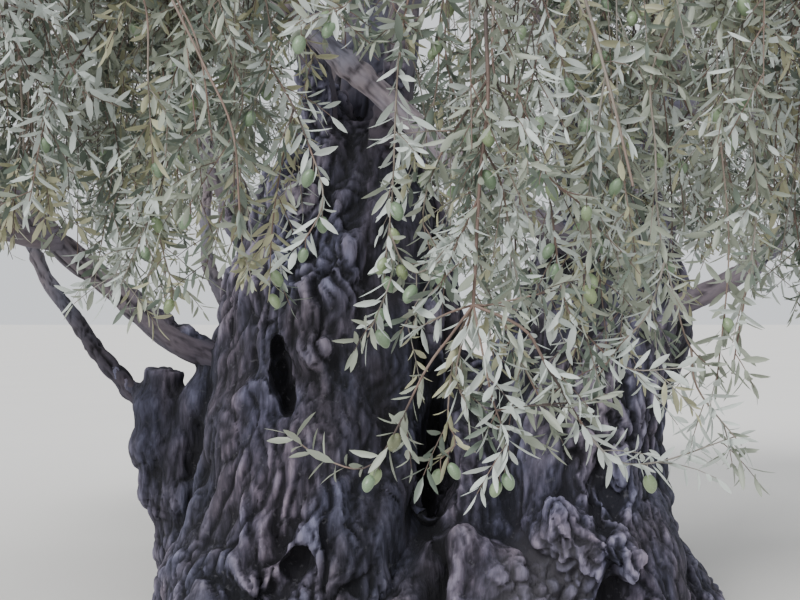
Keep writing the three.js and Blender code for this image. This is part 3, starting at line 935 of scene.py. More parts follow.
    def _sinews(self, limb: "Limb") -> list[Object]:
        """The trunk's sinews carried on round a bough's foot until they sink into it."""
        shares, fade = self._foot(limb)
        spokes = 4 * self.sinews
        rings = rings_round(limb.curve.at(shares), limb.radius(shares) * 1.04, spokes)
        random = np.random.default_rng(limb.mass.seed)
        tubes = []
        for first in range(0, spokes, 4):
            drift = first + random.uniform(-2, 2) + random.choice((-1, 1)) * random.uniform(2, 5) * fade
            spoke = np.rint(drift).astype(int) % spokes
            outer = rings[np.arange(len(shares)), spoke]
            path = mix(limb.curve.at(shares), outer, mix(1.1, 0.75, fade)[:, None])
            path = smooth_through(path[::3], np.linspace(0, 1, len(shares)))
            radius = limb.radius(shares) * random.uniform(0.24, 0.42) * mix(1.1, 0.7, fade)
            tubes.append(rolled_tube("sinew", rings_round(path, radius, 8)))
        return tubes

    def _carve(self, trunk: Object) -> None:
        """Takes the hollows out of the front, each as a few cavities that run into each other."""
        for centre, half in HOLLOWS:
            cutter = self._ball(centre, half, 4)
            apply_modifier(trunk, "BOOLEAN", operation="DIFFERENCE", object=cutter, solver="EXACT")
            bpy.data.objects.remove(cutter)

    @staticmethod
    def _cut_at_ground(trunk: Object) -> None:
        """Cuts the foot flat and closes it."""
        select_only(trunk)
        bpy.ops.object.mode_set(mode="EDIT")
        bpy.ops.mesh.select_all(action="SELECT")
        bpy.ops.mesh.bisect(plane_co=(0, 0, 0), plane_no=(0, 0, 1), use_fill=True, clear_inner=True)
        bpy.ops.object.mode_set(mode="OBJECT")

    @staticmethod
    def _roughen(trunk: Object) -> None:
        """Raises the bark in long lumps, round ones on the burrs, sinks the clefts and keeps the painted
        light and shade.
        """
        start = vertices_of(trunk)
        # Painted light and shade on the trunk, kept as the place attribute.
        place = sum((0.5 * strength * nearness(start, *spot) for *spot, strength in TRUNK_LIGHT_AND_SHADE), 0.5)
        cleft = sum(depth * nearness(start, *spot) for *spot, depth in CLEFTS)
        # Painted shade in the clefts, darker where they are deeper.
        place -= CLEFT_SHADE * cleft
        keep_values(trunk, "place", place)
        height = TRUNK_FIELD.height(start) * (1 - 0.75 * np.clip(1 - 2 * place, 0, 1))
        burred = np.clip((place - BURRED_FROM) / BURRED_OVER, 0, 1)
        burrs = burred > 0
        if burrs.any():
            height[burrs] = mix(height[burrs], BURR_FIELD.height(start[burrs]), burred[burrs])
        raised = start + normals_of(trunk) * (height - cleft)[:, None]
        raised[:, 2] = np.where(start[:, 2] < 1e-4, 0.0, np.maximum(raised[:, 2], 0.0))
        place_vertices(trunk, raised)
        keep_relief(trunk, TRUNK_RELIEF)


@dataclass(frozen=True)
class BarkField:
    """How high bark stands at any place: long lumps at several sizes, pulled about by a slow drift.

    Each size has how many lumps a metre holds in each direction and how high they stand.
    """

    drift: float
    sizes: tuple[tuple[Point, float], ...]

    SEED = 3
    STRENGTHS = (0.3, 1.9)

    def height(self, places: Array) -> Array:
        """The height to raise each place by, in metres."""
        noise.seed_set(self.SEED)
        push = self._vectors(places * 1.7) + 0.3 * self._vectors(places * 6.0)
        drifted = places + self.drift * push
        total = np.zeros(len(places))
        for order, (scale, height) in enumerate(self.sizes):
            strength = np.clip(1 + 1.7 * self._numbers(places * 1.6 + 7.0 * order), *self.STRENGTHS)
            total += height * strength * self._lumps(drifted * np.array(scale))
        return total * (0.9 + 0.8 * self._numbers(places * 1.3))

    def _lumps(self, places: Array) -> Array:
        """Rounded lumps with creases between, each standing at its own level."""
        near = [noise.voronoi(place) for place in places.tolist()]
        gaps = np.array([distances[1] - distances[0] for distances, _ in near])
        middles = np.array([points[0] for _, points in near])
        return 0.95 * (1 - np.exp(-4.0 * gaps)) - 0.5 + 0.9 * self._numbers(middles * 3.1)

    @staticmethod
    def _numbers(places: Array) -> Array:
        """Smooth noise at each place."""
        return np.fromiter((noise.noise(place) for place in places.tolist()), float, len(places))

    @staticmethod
    def _vectors(places: Array) -> Array:
        """Smooth noise at each place in three directions."""
        return np.array([noise.noise_vector(place) for place in places.tolist()])


TRUNK_FIELD = BarkField(
    0.14, (((4.4, 4.4, 1.05), 0.042), ((9.0, 9.0, 2.1), 0.034), ((18.0, 18.0, 4.6), 0.019))
)
BURR_FIELD = BarkField(
    0.05, (((6.5, 6.5, 5.5), 0.05), ((14.0, 14.0, 12.0), 0.034), ((27.0, 27.0, 23.0), 0.016))
)
LIMB_FIELD = BarkField(0.05, (((13.0, 13.0, 3.0), 0.007), ((30.0, 30.0, 6.0), 0.004)))
# For each scale of relief, the rounds of smoothing that give a place's surroundings and its usual height
TRUNK_RELIEF, LIMB_RELIEF = ((7, 0.009), (60, 0.026)), ((4, 0.002), (20, 0.006))
# The snag and the rope-like rib: points on the way up, and the radius at each
ROUTES = (
    (
        ((-1.2, -0.08, -0.06), (-1.33, -0.08, 0.48), (-1.42, -0.08, 0.9), (-1.4, -0.08, 1.25)),
        (0.2, 0.145, 0.165, 0.11),
    ),
    (
        ((-1.25, -0.16, 0.3), (-1.3, -0.17, 0.78), (-1.19, -0.16, 1.12), (-0.93, -0.11, 1.48)),
        (0.13, 0.1, 0.098, 0.11),
    ),
)
# The cavities of the middle and the left hollow: middle and half size
HOLLOWS = (
    ((0.0, -0.56, 1.08), (0.1, 0.25, 0.54)),
    ((0.035, -0.6, 0.78), (0.085, 0.25, 0.2)),
    ((-0.045, -0.55, 1.36), (0.07, 0.25, 0.3)),
    ((-0.73, -0.66, 1.26), (0.052, 0.2, 0.13)),
    ((-0.695, -0.68, 1.15), (0.045, 0.18, 0.1)),
    ((-0.75, -0.64, 1.36), (0.03, 0.16, 0.08)),
)
# Deep clefts at the foot, each a few that run into each other: middle, half size and depth
CLEFTS = (
    ((-0.03, -0.97, 0.1), (0.09, 0.5, 0.22), 0.13),
    ((0.01, -0.9, 0.36), (0.055, 0.5, 0.2), 0.11),
    ((-0.06, -0.85, 0.6), (0.075, 0.5, 0.17), 0.09),
    ((0.8, -0.92, 0.12), (0.07, 0.5, 0.18), 0.08),
    ((0.84, -0.88, 0.36), (0.06, 0.5, 0.18), 0.07),
    ((0.78, -0.8, 0.56), (0.06, 0.5, 0.14), 0.05),
)
# Painted light and shade on the trunk, where the bark is also smoother under painted shade and rougher under
# the strongest painted light: middle, half size and strength
TRUNK_LIGHT_AND_SHADE = (
    ((-0.2, -0.6, 1.6), (0.34, 0.7, 1.1), -1.0),
    ((0.15, -0.6, 0.9), (0.25, 0.7, 0.5), -0.6),
    ((0.5, -0.9, 0.3), (0.65, 0.8, 0.5), 0.75),
    ((-0.78, -0.7, 0.95), (0.4, 0.8, 1.0), 0.4),
    ((-1.45, -0.2, 0.9), (0.35, 0.5, 0.8), -0.7),
    ((1.2, -0.2, 1.3), (0.4, 0.6, 0.8), -0.4),
    ((-0.45, -0.5, 2.3), (0.4, 0.6, 0.5), -0.4),
)
# How much painted shade a cleft's depth puts in it, and the level of painted light from which the bark turns
# burred and over what range
CLEFT_SHADE, BURRED_FROM, BURRED_OVER = 5, 0.71, 0.1


def keep_relief(piece: Object, scales: Sequence[tuple[int, float]]) -> None:
    """Keeps how far each vertex stands out from its surroundings, from 0 in a furrow to 1 on a ridge.

    Args:
        piece: A mesh.
        scales: For each scale, how many rounds of smoothing its surroundings take and its usual height.
    """
    places, normals = vertices_of(piece), normals_of(piece)
    edges = rows_of(piece.data.edges, "vertices", 2, np.int32)
    first = np.concatenate([edges[:, 0], edges[:, 1]])
    second = np.concatenate([edges[:, 1], edges[:, 0]])
    order = np.argsort(first, kind="stable")
    first, second = first[order], second[order]
    neighbours = np.maximum(np.bincount(first, minlength=len(places)), 1)[:, None]
    starts = np.searchsorted(first, np.arange(len(places)))
    starts = np.minimum(starts, len(first) - 1)
    smooth, done, relief = places.copy(), 0, np.zeros(len(places))
    for rounds, usual in scales:
        for _ in range(rounds - done):
            smooth = (smooth + np.add.reduceat(smooth[second], starts) / neighbours) / 2
        done = rounds
        relief += np.clip(((places - smooth) * normals).sum(axis=1) / usual, -1, 1) / len(scales)
    keep_values(piece, "relief", 0.5 + 0.5 * relief)


# The foliage masses and the boughs that carry them, by the source's rules


@dataclass(frozen=True)
class Tier:
    """A ring of foliage masses round the trunk. Bearings are in degrees from +X towards +Y."""

    name: str
    count: int
    first_bearing: float
    step: float
    radius: float
    height: float
    half: Point
    root_in: float
    root_up: float
    arrival: Span


TIERS = (
    Tier("skirt", 9, 306, 36, 3.6, 3.0, (0.95, 1.12, 1.0), 0.55, -0.1, (0.7, 0.7)),
    Tier("shoulder", 7, 270, 360 / 7, 2.5, 4.45, (1.08, 1.12, 0.98), 0.45, -0.5, (0.55, 0.7)),
    Tier("top", 4, 300, 90, 1.0, 5.52, (1.05, 1.05, 0.88), 0.1, -0.62, (0.2, 1.0)),
)
CURTAINS = (
    ("left", (-0.85, -4.0, 2.48), (0.52, 0.6, 0.97)),
    ("middle", (-0.02, -4.25, 2.3), (0.5, 0.52, 1.12)),
    ("right", (0.64, -4.0, 2.43), (0.52, 0.6, 0.98)),
)


@dataclass(frozen=True)
class Mass:
    """A foliage mass: its own ellipsoidal space and the point where its bough enters it."""

    name: str
    group: str
    seed: int
    highest: float
    centre: Array
    out: Array
    half: Point
    root: Array
    arrival: Array

    @property
    def round(self) -> Array:
        """The level direction along the ring."""
        return np.array((-self.out[1], self.out[0], 0.0))

    def distance(self, places: Array) -> Array:
        """How far places lie from the centre, where 1 is the rim."""
        offset = places - self.centre
        axes = np.stack([self.out / self.half[0], self.round / self.half[1], UP / self.half[2]], axis=1)
        return np.linalg.norm(offset @ axes, axis=-1)


def list_masses() -> list[Mass]:
    """Every foliage mass, where the source puts it."""
    masses = []
    for row, tier in enumerate(TIERS):
        numbers = SourceNumbers(101 + row)
        for index in range(tier.count):
            bearing = math.radians(tier.first_bearing + tier.step * index)
            out = np.array((math.cos(bearing), math.sin(bearing), 0.0))
            radius = tier.radius + 0.17 * (2 * numbers.next() - 1)
            height = tier.height + 0.19 * (2 * numbers.next() - 1)
            size = 1 + 0.08 * (2 * numbers.next() - 1)
            half = tuple(value * size for value in tier.half)
            centre = out * radius + UP * height
            root = centre - out * tier.root_in * half[0] + UP * tier.root_up * half[2]
            arrival = unit(out * tier.arrival[0] + UP * tier.arrival[1])
            name, seed = f"{tier.name}_foliage_{index + 1}", 200 + 20 * row + index
            masses.append(Mass(name, tier.name, seed, 1.0, centre, out, half, root, arrival))
    for index, (side, centre, (across, deep, up)) in enumerate(CURTAINS):
        middle, out = np.array(centre), np.array((0.0, -1.0, 0.0))
        root = middle - out * 0.35 * deep + UP * 0.78 * up
        arrival = unit(np.array((0.0, -0.8, -0.45)))
        name, half = f"curtain_foliage_{side}", (deep, across, up)
        masses.append(Mass(name, "curtain", 300 + index, 0.5, middle, out, half, root, arrival))
    return masses


# Each bough's mass, what it starts from, its heading there and its radii at the root and the tip. A fork
# starts at a share of another bough's length.
BOUGHS: dict[str, tuple[str, Point | tuple[str, float], Point, Span]] = {
    "left_limb": ("skirt_foliage_8", (-0.83, -0.13, 1.15), (-0.9, 0.02, 0.42), (0.084, 0.04)),
    "left_limb_fork": ("skirt_foliage_9", ("left_limb", 0.46), (-0.85, -0.5, 0.05), (0.05, 0.03)),
    "left_low_limb": ("skirt_foliage_7", (-1.43, -0.06, 1.0), (-0.72, 0.1, 0.62), (0.046, 0.028)),
    "left_thin_limb": ("skirt_foliage_6", (-0.83, 0.22, 1.3), (-0.7, 0.55, 0.4), (0.05, 0.028)),
    "left_upper_bough": ("shoulder_foliage_6", (-0.8, 0.06, 1.5), (-0.42, 0.05, 0.9), (0.088, 0.038)),
    "left_crown_bough": ("top_foliage_3", (-0.43, 0.09, 2.25), (0.05, 0.15, 1), (0.15, 0.048)),
    "left_fore_bough": ("curtain_foliage_left", (-0.5, -0.09, 2.15), (-0.16, -0.22, 0.96), (0.096, 0.026)),
    "left_inner_bough": ("top_foliage_4", (-0.33, -0.04, 2.3), (0.25, -0.15, 0.95), (0.11, 0.042)),
    "front_bough": ("shoulder_foliage_1", (-0.26, -0.2, 2.18), (0.15, -0.55, 0.85), (0.1, 0.038)),
    "front_fork": ("curtain_foliage_middle", ("front_bough", 0.42), (-0.05, -0.95, 0.2), (0.05, 0.024)),
    "crossing_bough": ("shoulder_foliage_7", (0.82, -0.31, 1.85), (-0.8, -0.5, 0.38), (0.074, 0.036)),
    "right_limb": ("skirt_foliage_2", (0.78, -0.24, 1.33), (0.82, -0.35, 0.42), (0.062, 0.034)),
    "right_limb_fork": ("skirt_foliage_1", ("right_limb", 0.45), (0.4, -0.85, 0.3), (0.044, 0.03)),
    "right_fore_bough": ("shoulder_foliage_2", (0.94, -0.11, 1.95), (0.1, -0.45, 0.9), (0.096, 0.038)),
    "right_fore_fork": (
        "curtain_foliage_right",
        ("right_fore_bough", 0.4),
        (-0.1, -0.95, 0.3),
        (0.05, 0.024),
    ),
    "right_outer_bough": ("shoulder_foliage_3", (1.01, 0.04, 1.9), (0.32, 0.05, 0.95), (0.104, 0.04)),
    "right_outer_fork": ("skirt_foliage_3", ("right_outer_bough", 0.4), (0.9, 0.25, 0.05), (0.062, 0.034)),
    "right_inner_bough": ("top_foliage_1", (0.88, 0.03, 1.95), (-0.22, -0.1, 0.97), (0.11, 0.044)),
    "right_inner_fork": ("top_foliage_2", ("right_inner_bough", 0.42), (0.1, 0.6, 0.8), (0.066, 0.038)),
    "back_right_bough": ("skirt_foliage_4", (0.96, 0.18, 1.6), (0.35, 0.8, 0.42), (0.096, 0.038)),
    "back_right_fork": ("shoulder_foliage_4", ("back_right_bough", 0.38), (0.05, 0.35, 0.95), (0.066, 0.036)),
    "back_left_bough": ("skirt_foliage_5", (-0.38, 0.28, 1.7), (0.15, 0.85, 0.4), (0.1, 0.038)),
    "back_left_fork": ("shoulder_foliage_5", ("back_left_bough", 0.38), (-0.4, 0.35, 0.9), (0.066, 0.036)),
}


# How far the darker colour and deeper relief at a bough's foot reach along it, in metres, and how strong they
# are there
TRUNK_FOOT, FORK_FOOT = (0.9, 1.6), (0.6, 0.8)
SHORT_FEET = {"crossing_bough": (0.35, 1.6)}


@dataclass
class Limb:
    """A bough from what it grows on to its mass, and the stem that carries it on inside the mass."""

    name: str
    mass: Mass
    curve: Bend
    radii: Span
    parent: str | None
    foot: Span
    slenderness: float = 0.85
    ring_step: float = 0.022
    foot_swelling: Span = (0.3, 0.12)
    knot_spacing: float = 0.42
    knot_swelling: Span = (0.05, 0.24)
    knot_length: float = 0.035
    kink_waves: tuple[Span, Span] = ((1.0, 0.31), (0.5, 0.12))
    kink_share: float = 0.28
    past_centre: float = 0.32
    stem_droop: float = 0.2
    tip: float = 0.009
    near_tip: float = 0.004

    def radius(self, shares: Array) -> Array:
        """The limb's radius at shares of its length."""
        return mix(*self.radii, np.asarray(shares) ** self.slenderness)

    @property
    def stem(self) -> Bend:
        """The stem inside the mass: it runs a little past the centre and droops."""
        end = self.mass.centre + self.past_centre * (self.mass.centre - self.mass.root)
        arrival = unit(end - self.mass.root - self.stem_droop * UP)
        return Bend(self.mass.root, self.curve.tangent(np.array([1.0]))[0], end, arrival)

    def build(self) -> Object:
        """Models the bough with its stem as one tapering, knotted tube with bark relief."""
        stem, length = self.stem, self.curve.length
        along = np.linspace(0, 1, max(8, int(length / self.ring_step)))
        inside = np.linspace(0, 1, max(6, int(stem.length / (2.2 * self.ring_step))))[1:]
        path = np.concatenate([self.curve.at(along), stem.at(inside)])
        tip = self.near_tip if self.mass.group == "curtain" else self.tip
        radius = np.concatenate([self.radius(along), mix(self.radii[1], tip, inside**0.6)])
        travelled = np.concatenate([[0], np.cumsum(np.linalg.norm(np.diff(path, axis=0), axis=1))])
        swelling, fading = self.foot_swelling
        radius = radius * (1 + swelling * np.exp(-travelled / fading))
        random = np.random.default_rng(len(self.name) * 31 + self.mass.seed)
        for spot in random.uniform(0.2, length, int(length / self.knot_spacing)):
            knot = np.exp(-(((travelled - spot) / self.knot_length) ** 2))
            radius = radius * (1 + random.uniform(*self.knot_swelling) * knot)
        path = path + self._kinks(travelled, radius, random)
        sides = 28 if self.radii[0] > 0.07 else 18
        turns = np.linspace(0, math.tau, sides, endpoint=False)
        across = [radius[:, None] * np.cos(turns), radius[:, None] * np.sin(turns)]
        straight = np.stack([*across, np.repeat(travelled[:, None], sides, axis=1)], axis=-1)
        rings = rings_round(path, radius, sides)
        tube = rolled_tube(self.name + "_bark", rings, straight + self.mass.seed)
        self._roughen(tube, path[0])
        return tube

    def _kinks(self, travelled: Array, radius: Array, random: np.random.Generator) -> Array:
        """Small sideways wanderings that fade in from the root and out at the tip."""
        phases = random.uniform(0, math.tau, (3, 2))
        steps = travelled[:, None]
        broad, tight = (wave(phase, steps, *size) for phase, size in zip(phases.T, self.kink_waves))
        fade = np.clip(travelled / 0.5, 0, 1) * np.clip((travelled[-1] - travelled) / 0.5, 0, 1)
        return (broad + tight) * (fade * radius)[:, None] * self.kink_share

    def _roughen(self, tube: Object, root: Array) -> None:
        """Raises shallow fissured bark, and keeps the relief and how dark each place is.

        Args:
            tube: The bough.
            root: Where it grows from.
        """
        start = vertices_of(tube)
        reach, depth = self.foot
        near = np.minimum(np.exp(-np.linalg.norm(start - root, axis=1) / reach) * depth, 1)
        straight = rows_of(tube.data.attributes["straight"].data, "vector")
        height = LIMB_FIELD.height(straight) * (0.6 + 1.6 * near)
        place_vertices(tube, start + normals_of(tube) * height[:, None])
        keep_relief(tube, LIMB_RELIEF)
        keep_values(tube, "place", 0.5 * (1 - near))


def route_limbs(masses: Sequence[Mass]) -> list[Limb]:
    """Every bough on its curve, from what it grows on to the root of its mass."""
    limbs: dict[str, Limb] = {}
    for name, (mass_name, origin, heading, radii) in BOUGHS.items():
        mass = next(mass for mass in masses if mass.name == mass_name)
        parent = origin[0] if isinstance(origin[0], str) else None
        start = limbs[parent].curve.at(np.array([origin[1]]))[0] if parent else np.array(origin)
        curve = Bend(start, unit(np.array(heading, float)), mass.root, mass.arrival)
        foot = SHORT_FEET.get(name, FORK_FOOT if parent else TRUNK_FOOT)
        limbs[name] = Limb(name, mass, curve, radii, parent, foot)
    return list(limbs.values())


# Leaves, twigs and fruit


class LeafShape:
    """A leaf's outline as rows of points: how far along each row lies and how wide it is."""

    FOLD = 0.32

    def __init__(self, rows: Sequence[Span], folded: bool) -> None:
        """Lays out the outline.

        Args:
            rows: The share of the length and of the half width, without the root and the tip.
            folded: Whether a row of points runs down the midrib.
        """
        lanes = (-1.0, 0.0, 1.0) if folded else (-1.0, 1.0)
        points = [(0.0, 0.0), *((along, lane * wide) for along, wide in rows for lane in lanes), (1.0, 0.0)]
        self.along = np.array([point[0] for point in points])
        self.across = np.array([point[1] for point in points])
        width, last = len(lanes), len(points) - 1
        faces = [(0, 2 + lane, 1 + lane) for lane in range(width - 1)]
        for row in range(len(rows) - 1):
            for lane in range(width - 1):
                here = 1 + row * width + lane
                faces += [(here, here + 1, here + width + 1), (here, here + width + 1, here + width)]
        end = 1 + (len(rows) - 1) * width
        faces += [(end + lane, end + lane + 1, last) for lane in range(width - 1)]
        self.faces = np.array(faces)

    def meshes(self, leaves: "Leaves") -> tuple[Array, Array]:
        """The vertices and triangles of many leaves of this shape."""
        length, width = leaves.lengths[:, None, None], leaves.widths[:, None, None] / 2
        along, across = self.along[None, :, None], self.across[None, :, None]
        lift = self.FOLD * width * np.abs(across) - leaves.arches[:, None, None] * length * along**2
        vertices = leaves.roots[:, None] + along * length * leaves.directions[:, None]
        vertices = vertices + across * width * leaves.sides[:, None] + lift * leaves.normals[:, None]
        count, points = vertices.shape[:2]
        faces = self.faces[None] + (np.arange(count) * points)[:, None, None]
        return vertices.reshape(-1, 3), faces.reshape(-1, 3)


PLAIN_LEAF = LeafShape(((0.34, 0.92), (0.74, 0.82)), folded=False)
FOLDED_LEAF = LeafShape(((0.32, 0.9), (0.74, 0.82)), folded=True)
FINE_LEAF = LeafShape(((0.08, 0.12), (0.3, 0.84), (0.6, 1.0), (0.86, 0.56)), folded=True)


@dataclass
class Leaves:
    """Many leaves: where each grows, how it lies, its size and the tint of its spray."""

    roots: Array
    directions: Array
    sides: Array
    lengths: Array
    widths: Array
    arches: Array
    tints: Array

    @property
    def normals(self) -> Array:
        """The direction that each upper face looks in."""
        return np.cross(self.directions, self.sides)

    def only(self, chosen: Array) -> "Leaves":
        """The leaves that a mask or a list of numbers picks out."""
        return Leaves(**{name: values[chosen] for name, values in vars(self).items()})

    def tips(self) -> Array:
        """The end of each leaf."""
        return self.roots + self.directions * self.lengths[:, None]


@dataclass
class Shoots:
    """Many curved shoots, each with a start, a middle and an end control point, two radii and a tint."""

    controls: Array
    radii: Array
    tints: Array

    def at(self, shares: Array) -> Array:
        """Points at shares of each shoot, as shoots by shares by 3."""
        t = shares[..., None]
        start, middle, end = (self.controls[:, None, step] for step in range(3))
        return (1 - t) ** 2 * start + 2 * t * (1 - t) * middle + t**2 * end

    def tangents(self, shares: Array) -> Array:
        """Directions of length 1 at shares of each shoot."""
        t = shares[..., None]
        start, middle, end = (self.controls[:, None, step] for step in range(3))
        return unit((1 - t) * (middle - start) + t * (end - middle))

    def only(self, chosen: Array) -> "Shoots":
        """The shoots that a mask or a list of numbers picks out."""
        return Shoots(**{name: values[chosen] for name, values in vars(self).items()})

    def with_more(self, more: "Shoots") -> "Shoots":
        """These shoots and more."""
        return Shoots(**{key: np.concatenate([kept, vars(more)[key]]) for key, kept in vars(self).items()})

    def tubes(self, rings: int, sides: int = 3) -> tuple[Array, Array]:
        """The shoots as thin tubes."""
        shares = np.broadcast_to(np.linspace(0, 1, rings), (len(self.controls), rings))
        return tube_arrays(self.at(shares), mix(self.radii[:, :1], self.radii[:, 1:], shares), sides)


@dataclass(frozen=True)
class Branching:
    """How shoots leave what they grow on."""

    count: int
    along: Span
    length: Span
    lean: Span
    droop: float
    radii: Span


@dataclass(frozen=True)
class Foliage:
    """How a kind of leaf sits on its shoot: angles in radians, and what varies as a range or a spread."""

    pairs: int
    length: float
    width: float
    shape: LeafShape
    lean: Span = (0.5, 1.15)
    along: Span = (0.12, 0.95)
    sizes: Span = (0.6, 1.15)
    size_at_tip: float = 0.8
    widths: Span = (0.85, 1.15)
    arches: Span = (-0.05, 0.16)
    shift: float = 0.22
    turning: float = 0.35
    tip_lean: float = 0.25
    sag: float = 0.3
    roll: float = 0.7


@dataclass(frozen=True)
class Habit:
    """How a mass divides: its twigs by the source's rule, side shoots, leafy sprigs and leaves."""

    twigs: int
    twig_radii: Span
    shoots: Branching
    sprigs: Branching
    leaves: Foliage
    olives: int
    olive_size: float
    hanging: int = 0
    lowest: float = 0.0
    keep_out: tuple[Point, Point] | None = None


CROWN_HABIT = Habit(
    twigs=17,
    twig_radii=(0.011, 0.004),
    shoots=Branching(10, (0.26, 1.0), (0.38, 0.62), (0.5, 1.1), 0.34, (0.004, 0.002)),
    sprigs=Branching(4, (0.25, 1.0), (0.17, 0.3), (0.4, 1.0), 0.3, (0.002, 0.0012)),
    leaves=Foliage(7, 0.093, 0.0212, PLAIN_LEAF),
    olives=26,
    olive_size=1.35,
)
SIDE_HABIT = Habit(
    twigs=20,
    twig_radii=(0.0042, 0.0018),
    shoots=Branching(10, (0.2, 1.0), (0.28, 0.52), (0.35, 1.0), 0.6, (0.0019, 0.001)),
    sprigs=Branching(5, (0.15, 1.0), (0.1, 0.2), (0.4, 1.0), 0.5, (0.0011, 0.0007)),
    leaves=Foliage(6, 0.047, 0.0108, PLAIN_LEAF, (0.45, 1.5)),
    olives=70,
    olive_size=1.0,
    hanging=90,
    keep_out=((-1.6, -5.0, 0.0), (-0.7, -3.0, 1.6)),
)
MIDDLE_HABIT = replace(
    SIDE_HABIT,
    twigs=16,
    twig_radii=(0.004, 0.0018),
    shoots=replace(SIDE_HABIT.shoots, count=6, along=(0.1, 1.0), length=(0.28, 0.5)),
    leaves=Foliage(6, 0.044, 0.0098, FOLDED_LEAF, (0.45, 1.5)),
    olives=60,
    hanging=120,
    lowest=1.55,
    keep_out=((-0.37, -5.0, 0.0), (-0.12, -3.5, 1.99)),
)


class Growth:
    """Grows shoots and leaves for one mass, and keeps them in the mass's own space and clear of limbs."""

    RIM, LIMB_ROOM = 1.03, 0.012
    TWIG_REACH, OUTWARDS, UPWARDS, DROOP = 0.84, 1.4, 0.25, 0.55
    FITTED, TESTED = (0.5, 0.72, 1.0), (0.4, 0.6, 0.8, 1.0)
    SPOTS, DROOPS = (0.1, 0.9), (0.6, 1.6)
    FALL, FAR_OFF, NEAR_BY = 0.2, 9.0, 0.5

    def __init__(
        self, mass: Mass, masses: Sequence[Mass], limbs: Sequence[Limb], reach: Array, habit: Habit
    ) -> None:
        """Sets the space that the mass may fill.

        Args:
            mass: The mass.
            masses: Every mass, whose spaces are kept free.
            limbs: Every limb, which foliage doesn't touch.
            reach: The lowest and highest corner that anything may reach.
            habit: How the mass divides, and the space that it leaves free.
        """
        self.mass = mass
        self.others = [other for other in masses if other is not mass]
        self.reach = reach.copy()
        self.keep_out = habit.keep_out
        extent = np.linalg.norm(np.stack([mass.out, mass.round, UP]) * np.array(mass.half)[:, None], axis=0)
        self.crowding = np.maximum(1, self.RIM * extent / np.abs(reach - mass.centre))
        self.random = np.random.default_rng(mass.seed)
        shares = np.linspace(0, 1, 49)
        self.limb_points = np.concatenate([limb.curve.at(shares) for limb in limbs])
        self.limb_radii = np.concatenate([limb.radius(shares) for limb in limbs])
        near = mass.distance(self.limb_points) < 1.5
        self.limb_points, self.limb_radii = self.limb_points[near], self.limb_radii[near]
        self.reach[0][2] = max(self.reach[0][2], habit.lowest)

    def free(self, places: Array) -> Array:
        """Which places lie in the mass's own space and clear of every limb."""
        offset = places - self.mass.centre
        crowded = self.mass.centre + offset * np.where(offset > 0, self.crowding[1], self.crowding[0])
        distance = self.mass.distance(places)
        kept = (self.mass.distance(crowded) <= self.RIM) & self.clear(places)
        if self.keep_out:
            kept &= ~((places > self.keep_out[0]) & (places < self.keep_out[1])).all(-1)
        for other in self.others:
            kept &= other.distance(places) > distance
        return kept

    def clear(self, places: Array) -> Array:
        """Which places lie within reach and clear of every limb."""
        kept = (places >= self.reach[0]).all(-1) & (places <= self.reach[1]).all(-1)
        for point, radius in zip(self.limb_points, self.limb_radii):
            kept &= ((places - point) ** 2).sum(-1) > (radius + self.LIMB_ROOM) ** 2
        return kept

    def twigs(self, stem: Bend, count: int) -> list[Bend]:
        """Twigs that leave the stem in turn for points spread evenly over the mass's rim."""
        mass, numbers = self.mass, SourceNumbers(self.mass.seed)
        spin = numbers.next() * math.tau
        curves = []
        for index in range(count):
            rise = mix(mass.highest, -1, (index + 0.5) / count)
            level = math.sqrt(max(0.0, 1 - rise * rise))
            turn = spin + index * GOLDEN_ANGLE
            to_rim = mass.out * level * math.cos(turn) * mass.half[0] + UP * rise * mass.half[2]
            to_rim = to_rim + mass.round * level * math.sin(turn) * mass.half[1]
            target = mass.centre + self.TWIG_REACH * to_rim
            share = np.array([mix(0.2, 0.92, (index * 2 + 1) % count / count)])
            start = stem.at(share)[0]
            heading = unit(stem.tangent(share)[0] + self.OUTWARDS * unit(target - start) + self.UPWARDS * UP)
            curves.append(Bend(start, heading, target, unit(unit(to_rim) - self.DROOP * UP)))
        return [curve for curve in curves if self.free(curve.at(np.array(self.TESTED))).all()]

    def side_shoots(self, points: Array, tangents: Array, tints: Array, way: Branching) -> Shoots:
        """Shoots that leave given points sideways and droop, shortened or left out where they don't fit.

        Args:
            points: Where each shoot starts.
            tangents: The direction of what it grows on.
            tints: The tint that its leaves get.
            way: The shoots' lengths, lean, droop and radii.

        Returns:
            The shoots that fit.
        """
        count, random = len(points), self.random
        level, lifted = across_and_lifted(tangents)
        turn = random.uniform(0, math.tau, (count, 1))
        lean = random.uniform(*way.lean, (count, 1))
        heading = tangents * np.cos(lean) + (level * np.cos(turn) + lifted * np.sin(turn)) * np.sin(lean)
        end_heading = unit(heading - UP * way.droop * random.uniform(*self.DROOPS, (count, 1)))
        length = random.uniform(*way.length, (count, 1))
        scale = np.zeros((count, 1))
        for tried in self.FITTED:
            reached = length * tried
            middle = points + heading * reached * 0.5
            fits = self.free(middle + end_heading * reached * 0.5) & self.free(middle)
            scale[fits] = tried
        middle = points + heading * length * scale * 0.5
        controls = np.stack([points, middle, middle + end_heading * length * scale * 0.5], axis=1)
        radii = np.tile(np.array(way.radii), (count, 1))
        return Shoots(controls, radii, tints).only(scale[:, 0] > 0)

    def shoots_on(self, curves: Sequence[Bend], way: Branching) -> Shoots:
        """Side shoots along curves, each one a spray with its own tint."""
        points, tangents = [], []
        for curve in curves:
            steps = (np.arange(way.count) + self.random.uniform(*self.SPOTS, way.count)) / way.count
            shares = mix(*way.along, steps)
            points.append(curve.at(shares))
            tangents.append(curve.tangent(shares))
        points, tangents = np.concatenate(points), np.concatenate(tangents)
        return self.side_shoots(points, tangents, self.deal(len(points)), way)

